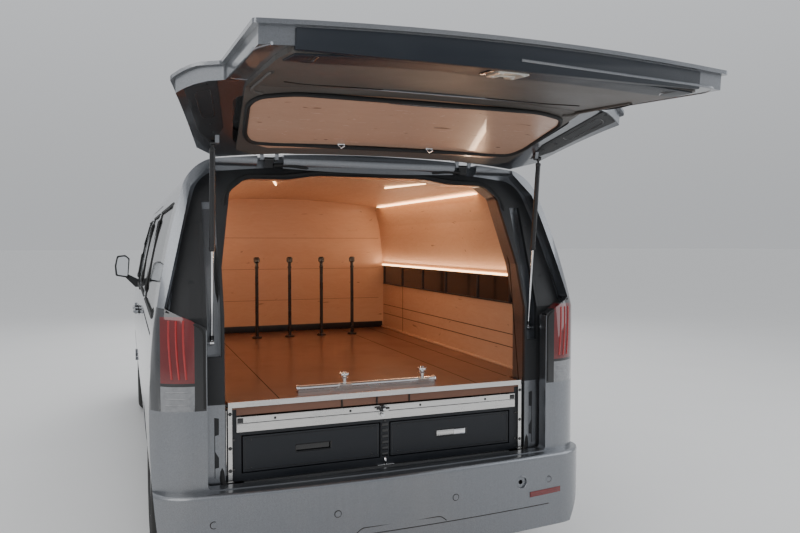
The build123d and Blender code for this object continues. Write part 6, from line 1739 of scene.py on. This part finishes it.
@dataclass
class Front:
    """Grille bars and mesh, intake, fog lamps, blank plate and wipers."""

    grille_z: Pair = (0.705, 0.959)
    slots: int = 4
    pitch: float = 0.054

    def build(self) -> None:
        """Make each piece."""
        self.grille()
        self.lower()
        self.wipers()

    def grille(self) -> None:
        """Bright blade on each bar, the rim and the mesh behind."""
        skin = Skin(["grille"], 1)
        shape = Shape()
        for row in range(self.slots - 1):
            z = self.grille_z[0] + 0.024 + row * self.pitch + 0.045
            for side in (-1, 1):
                line = [(side * x, skin.depth(Axis.Y, side * x, z) + 0.002, z) for x in spread(0.02, 0.50, 12)]
                shape.hose(line, 0.0045, finish=0)
        border = [(0.0, 0.716), (0.530, 0.716), (0.530, 0.948), (0.0, 0.948)]
        route = rounded_route([(x, 0.0, z) for x, z in border], 0.03)
        full = route + [(-x, y, z) for x, y, z in reversed(route)]
        shape.hose([(x, skin.depth(Axis.Y, x, z) + 0.001, z) for x, _, z in full[1:-1]], 0.006, closed=True,
                   finish=0)
        shape.piece("grille_blades", [INK.bright], "body")
        shape = Shape()
        for x in spread(-0.510, 0.510, 52):
            depth = skin.depth(Axis.Y, x, 0.716) - 0.045
            shape.block((x - 0.0012, depth - 0.002, 0.722), (x + 0.0012, depth, 0.942))
        for z in spread(0.728, 0.938, 14):
            line = [(x, skin.depth(Axis.Y, x, 0.716) - 0.046, z) for x in spread(-0.510, 0.510, 13)]
            shape.hose(line, 0.0012)
        shape.piece("grille_mesh", [INK.plastic], "body")

    def lower(self) -> None:
        """Mesh of the intake, fog lamps, blank plate and sensors on the front bumper."""
        skin = Skin(["front_bumper"], 1)
        shape = Shape()
        for z in spread(0.350, 0.500, 6):
            depth = skin.depth(Axis.Y, 0.0, 0.60) - 0.040
            line = [(x, depth - 0.16 * x * x, z) for x in spread(-0.455, 0.455, 15)]
            shape.hose(line, 0.005)
        shape.piece("intake_bars", [INK.plastic], "body")
        shape = Shape()
        depth = skin.depth(Axis.Y, 0.66, 0.44)
        shape.lathe([(0.0, 0.048), (0.004, 0.047), (0.005, 0.042), (0.001, 0.038), (0.003, 0.0)],
                    (0.66, depth, 0.44), (0.35, 1, 0), 32, finish=0)
        outline = [(0.585, 0.385), (0.745, 0.395), (0.735, 0.500), (0.600, 0.490)]
        rim = rounded_route([(x, 0.0, z) for x, z in outline], 0.03, closed=True)
        shape.hose([(x, skin.depth(Axis.Y, x, z), z) for x, _, z in rim], 0.006, closed=True, finish=1)
        shape.both_sides().piece("fog_lamps", [INK.bright, INK.gloss], "body")
        shape = Shape()
        shape.wrapped([(-0.262, 0.548), (0.262, 0.548), (0.262, 0.664), (-0.262, 0.664)], Axis.Y, skin,
                      0.0, 0.003, cell=0.08, finish=1)
        shape.wrapped([(-0.258, 0.552), (0.258, 0.552), (0.258, 0.660), (-0.258, 0.660)], Axis.Y, skin,
                      0.003, 0.0015, cell=0.08, finish=0)
        shape.piece("front_blank_plate", [INK.plate, INK.plastic], "body")
        shape = Shape()
        for x, z in ((0.30, 0.60), (0.74, 0.60)):
            depth = skin.depth(Axis.Y, x, z)
            shape.lathe([(0.0, 0.0125), (0.0015, 0.012), (0.0018, 0.010), (0.0012, 0.0095), (0.0016, 0.0)],
                        (x, depth, z), (0.2, 1, 0), 28)
        shape.both_sides().piece("front_sensors", [INK.paint], "body")

    def wipers(self) -> None:
        """Two wipers parked along the windscreen's foot."""
        skin = Skin(["windscreen", "cowl_panel", "side_panels"], 1)
        for index, (pivot, tip) in enumerate(((-0.62, 0.02), (0.02, 0.60))):
            shape = Shape()
            arm = [(x, skin.depth(Axis.Y, x, z) + 0.010, z)
                   for x, z in zip(spread(pivot, tip - 0.10, 6), spread(1.232, 1.262, 6))]
            shape.hose(arm, 0.0065)
            blade = [(x, skin.depth(Axis.Y, x, 1.268) + 0.005, 1.268)
                     for x in spread(pivot + 0.08, tip, 8)]
            shape.hose(blade, 0.0055)
            shape.lathe([(0.0, 0.018), (0.012, 0.016), (0.016, 0.008), (0.016, 0.0)],
                        (arm[0][0], arm[0][1] - 0.008, arm[0][2]), (0, 0.4, 1), 20)
            shape.piece(f"wiper_{index + 1}", [INK.plastic], "body")


@dataclass
class Cab:
    """Padded seats, dash fittings and the steering wheel's boss cover."""

    seat_x: float = 0.430
    cushion: list[Pair] = field(default_factory=lambda: [
        (0.872, 0.712), (1.378, 0.728), (1.388, 0.812), (1.352, 0.848), (0.872, 0.818)])
    back: list[Pair] = field(default_factory=lambda: [
        (0.885, 0.815), (0.925, 0.852), (0.852, 1.420), (0.792, 1.420), (0.758, 1.392), (0.802, 0.835)])
    head: list[Pair] = field(default_factory=lambda: [
        (0.788, 1.455), (0.843, 1.455), (0.829, 1.600), (0.782, 1.600)])
    voxel: float = 0.008

    def build(self) -> None:
        """Make each piece."""
        self.seats()
        self.seat_frames()
        self.dash()
        self.wheel()

    def seats(self) -> None:
        """Swollen cushions, backrests and headrests."""
        for label, outline, half, cap, fill in (("cushion", self.cushion, 0.240, 0.014, 0.7),
                                                ("backrest", self.back, 0.228, 0.012, 0.7),
                                                ("headrest", self.head, 0.118, 0.010, 0.8)):
            shape = Shape()
            shape.prism(outline, Axis.X, self.seat_x - half, self.seat_x + half, 0.018)
            pad = shape.piece(f"seat_{label}_right", [INK.cloth], "body")
            self.swell(pad, cap)
            other = bpy.data.objects.new(f"seat_{label}_left", pad.data.copy())
            bpy.context.scene.collection.objects.link(other)
            bm = bmesh.new()
            bm.from_mesh(other.data)
            bmesh.ops.scale(bm, vec=(-1, 1, 1), verts=bm.verts[:])
            bmesh.ops.reverse_faces(bm, faces=bm.faces[:])
            bm.to_mesh(other.data)
            bm.free()
            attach(other, "body")

    def swell(self, pad: bpy.types.Object, cap: float) -> None:
        """Fill a pad like a cushion, with a cap on how far its cover may move.

        Args:
            pad: the pad, whose mesh is changed.
            cap: largest move of a point, in metres.
        """
        remesh = pad.modifiers.new("even", "REMESH")
        remesh.mode = "VOXEL"
        remesh.voxel_size = self.voxel
        cloth = pad.modifiers.new("filling", "CLOTH")
        cloth.settings.use_pressure = True
        cloth.settings.uniform_pressure_force = 4.0
        cloth.settings.effector_weights.gravity = 0.0
        for index in range(1, 21):
            bpy.context.scene.frame_set(index)
        view = bpy.context.evaluated_depsgraph_get()
        swollen = bpy.data.meshes.new_from_object(pad.evaluated_get(view))
        cloth.show_viewport = False
        view = bpy.context.evaluated_depsgraph_get()
        plain = bpy.data.meshes.new_from_object(pad.evaluated_get(view))
        for vert, start in zip(swollen.vertices, plain.vertices):
            move = vert.co - start.co
            if move.length > cap:
                vert.co = start.co + move.normalized() * cap
        pad.modifiers.clear()
        pad.data = swollen
        swollen.materials.clear()
        swollen.materials.append(INK.cloth.material())
        swollen.shade_smooth()
        bpy.context.scene.frame_set(1)

    def seat_frames(self) -> None:
        """Plinths, side shields, headrest rods and belt buckles, in place of the plain seats."""
        shape = Shape()
        x = self.seat_x
        base = [(0.885, 0.492), (1.335, 0.492), (1.325, 0.706), (0.905, 0.700)]
        shape.prism(base, Axis.X, x - 0.205, x + 0.205, 0.010, 0)
        for side in (-1, 1):
            shield = [(0.80, 0.700), (1.36, 0.712), (1.36, 0.742), (0.98, 0.760), (0.86, 0.86), (0.80, 0.84)]
            near, far = sorted((x + side * 0.243, x + side * 0.254))
            shape.prism(shield, Axis.X, near, far, 0.003, 0, corner=0.015)
            shape.bar((x + side * 0.055, 0.820, 1.40), (x + side * 0.055, 0.812, 1.475), 0.006, 12, 1)
        shape.block((x - 0.248 * 1.0, 0.93, 0.75), (x - 0.222, 0.98, 0.90), 0.006, 0)
        shape.both_sides().piece("seat_frames", [INK.plastic, INK.bright], "body", ["cab_seats"])

    def dash(self) -> None:
        """Instrument hood, middle screen, vents and controls of the dashboard."""
        skin = Skin(["dashboard"], -1)
        shape = Shape()
        x = -self.seat_x
        hood = [(x - 0.19, 1.052), (x - 0.17, 1.175), (x + 0.17, 1.175), (x + 0.19, 1.052)]
        shape.prism(hood, Axis.Y, 1.735, 1.890, 0.012, 0, corner=0.03)
        shape.prism([(x - 0.165, 1.068), (x - 0.150, 1.160), (x + 0.150, 1.160), (x + 0.165, 1.068)],
                    Axis.Y, 1.731, 1.737, 0.001, 1, corner=0.015)
        shape.prism([(-0.15, 1.09), (-0.15, 1.21), (0.15, 1.21), (0.15, 1.09)], Axis.Y, 1.780, 1.800, 0.004,
                    1, corner=0.012)
        shape.block((-0.05, 1.795, 1.05), (0.05, 1.835, 1.12), 0.005, 0)
        for spot in (-0.74, -0.13, 0.13, 0.74):
            depth = skin.depth(Axis.Y, spot, 0.975)
            shape.lathe([(0.0, 0.045), (0.006, 0.044), (0.008, 0.040), (0.002, 0.036), (0.002, 0.0)],
                        (spot, depth, 0.965), (0, -1, 0), 28, finish=2)
            for z in (0.952, 0.965, 0.978):
                shape.block((spot - 0.033, depth - 0.007, z - 0.002), (spot + 0.033, depth - 0.002, z + 0.002),
                            0.0008, 1)
        depth = skin.depth(Axis.Y, 0.0, 0.90)
        for spot in spread(-0.075, 0.075, 6):
            shape.block((spot - 0.011, depth - 0.006, 0.890), (spot + 0.011, depth + 0.002, 0.912), 0.003, 2)
        shape.piece("dash_fittings", [INK.plastic, INK.gloss, INK.bright], "body")

    def wheel(self) -> None:
        """Boss cover on the steering wheel."""
        axis = Vector((0, 1.500 - 1.700, 1.075 - 0.985)).normalized()
        centre = Vector((-self.seat_x, 1.500, 1.075)) + axis * 0.0403
        shape = Shape()
        shape.lathe([(0.0, 0.058), (0.004, 0.056), (0.010, 0.046), (0.014, 0.020), (0.014, 0.0)],
                    tuple(centre), tuple(axis), 40, finish=0)
        shape.piece("wheel_boss", [INK.plastic], "steering_wheel")


@dataclass
class Underside:
    """Brake lines and clamps under the floor."""

    def build(self) -> None:
        """Make each piece."""
        shape = Shape()
        for x in (-0.30, 0.16):
            shape.hose([(x, 1.60, 0.437), (x, 0.62, 0.437), (x * 1.1, 0.40, 0.505), (x * 1.1, -0.55, 0.507)],
                       0.004)
        for y in (0.190, -0.390):
            shape.lathe([(-0.010, 0.030), (-0.010, 0.034), (0.010, 0.034), (0.010, 0.030)],
                        (0.250, y + 0.03, 0.412), (0, 1, 0), 28, finish=0)
        shape.piece("floor_lines", [INK.iron], "body")


def main() -> None:
    """Build every sub-assembly in order."""
    logging.basicConfig(level=logging.INFO, format="%(message)s")
    for part in (Studio(), Bodywork(), RearFrame(), Tailgate(), LoadSpace(), Drawers(), Lamps(), Wheels(),
                 BodyDetails(), Front(), Cab(), Underside()):
        LOG.info("building %s", type(part).__name__)
        part.build()


if __name__ == "__main__":
    main()
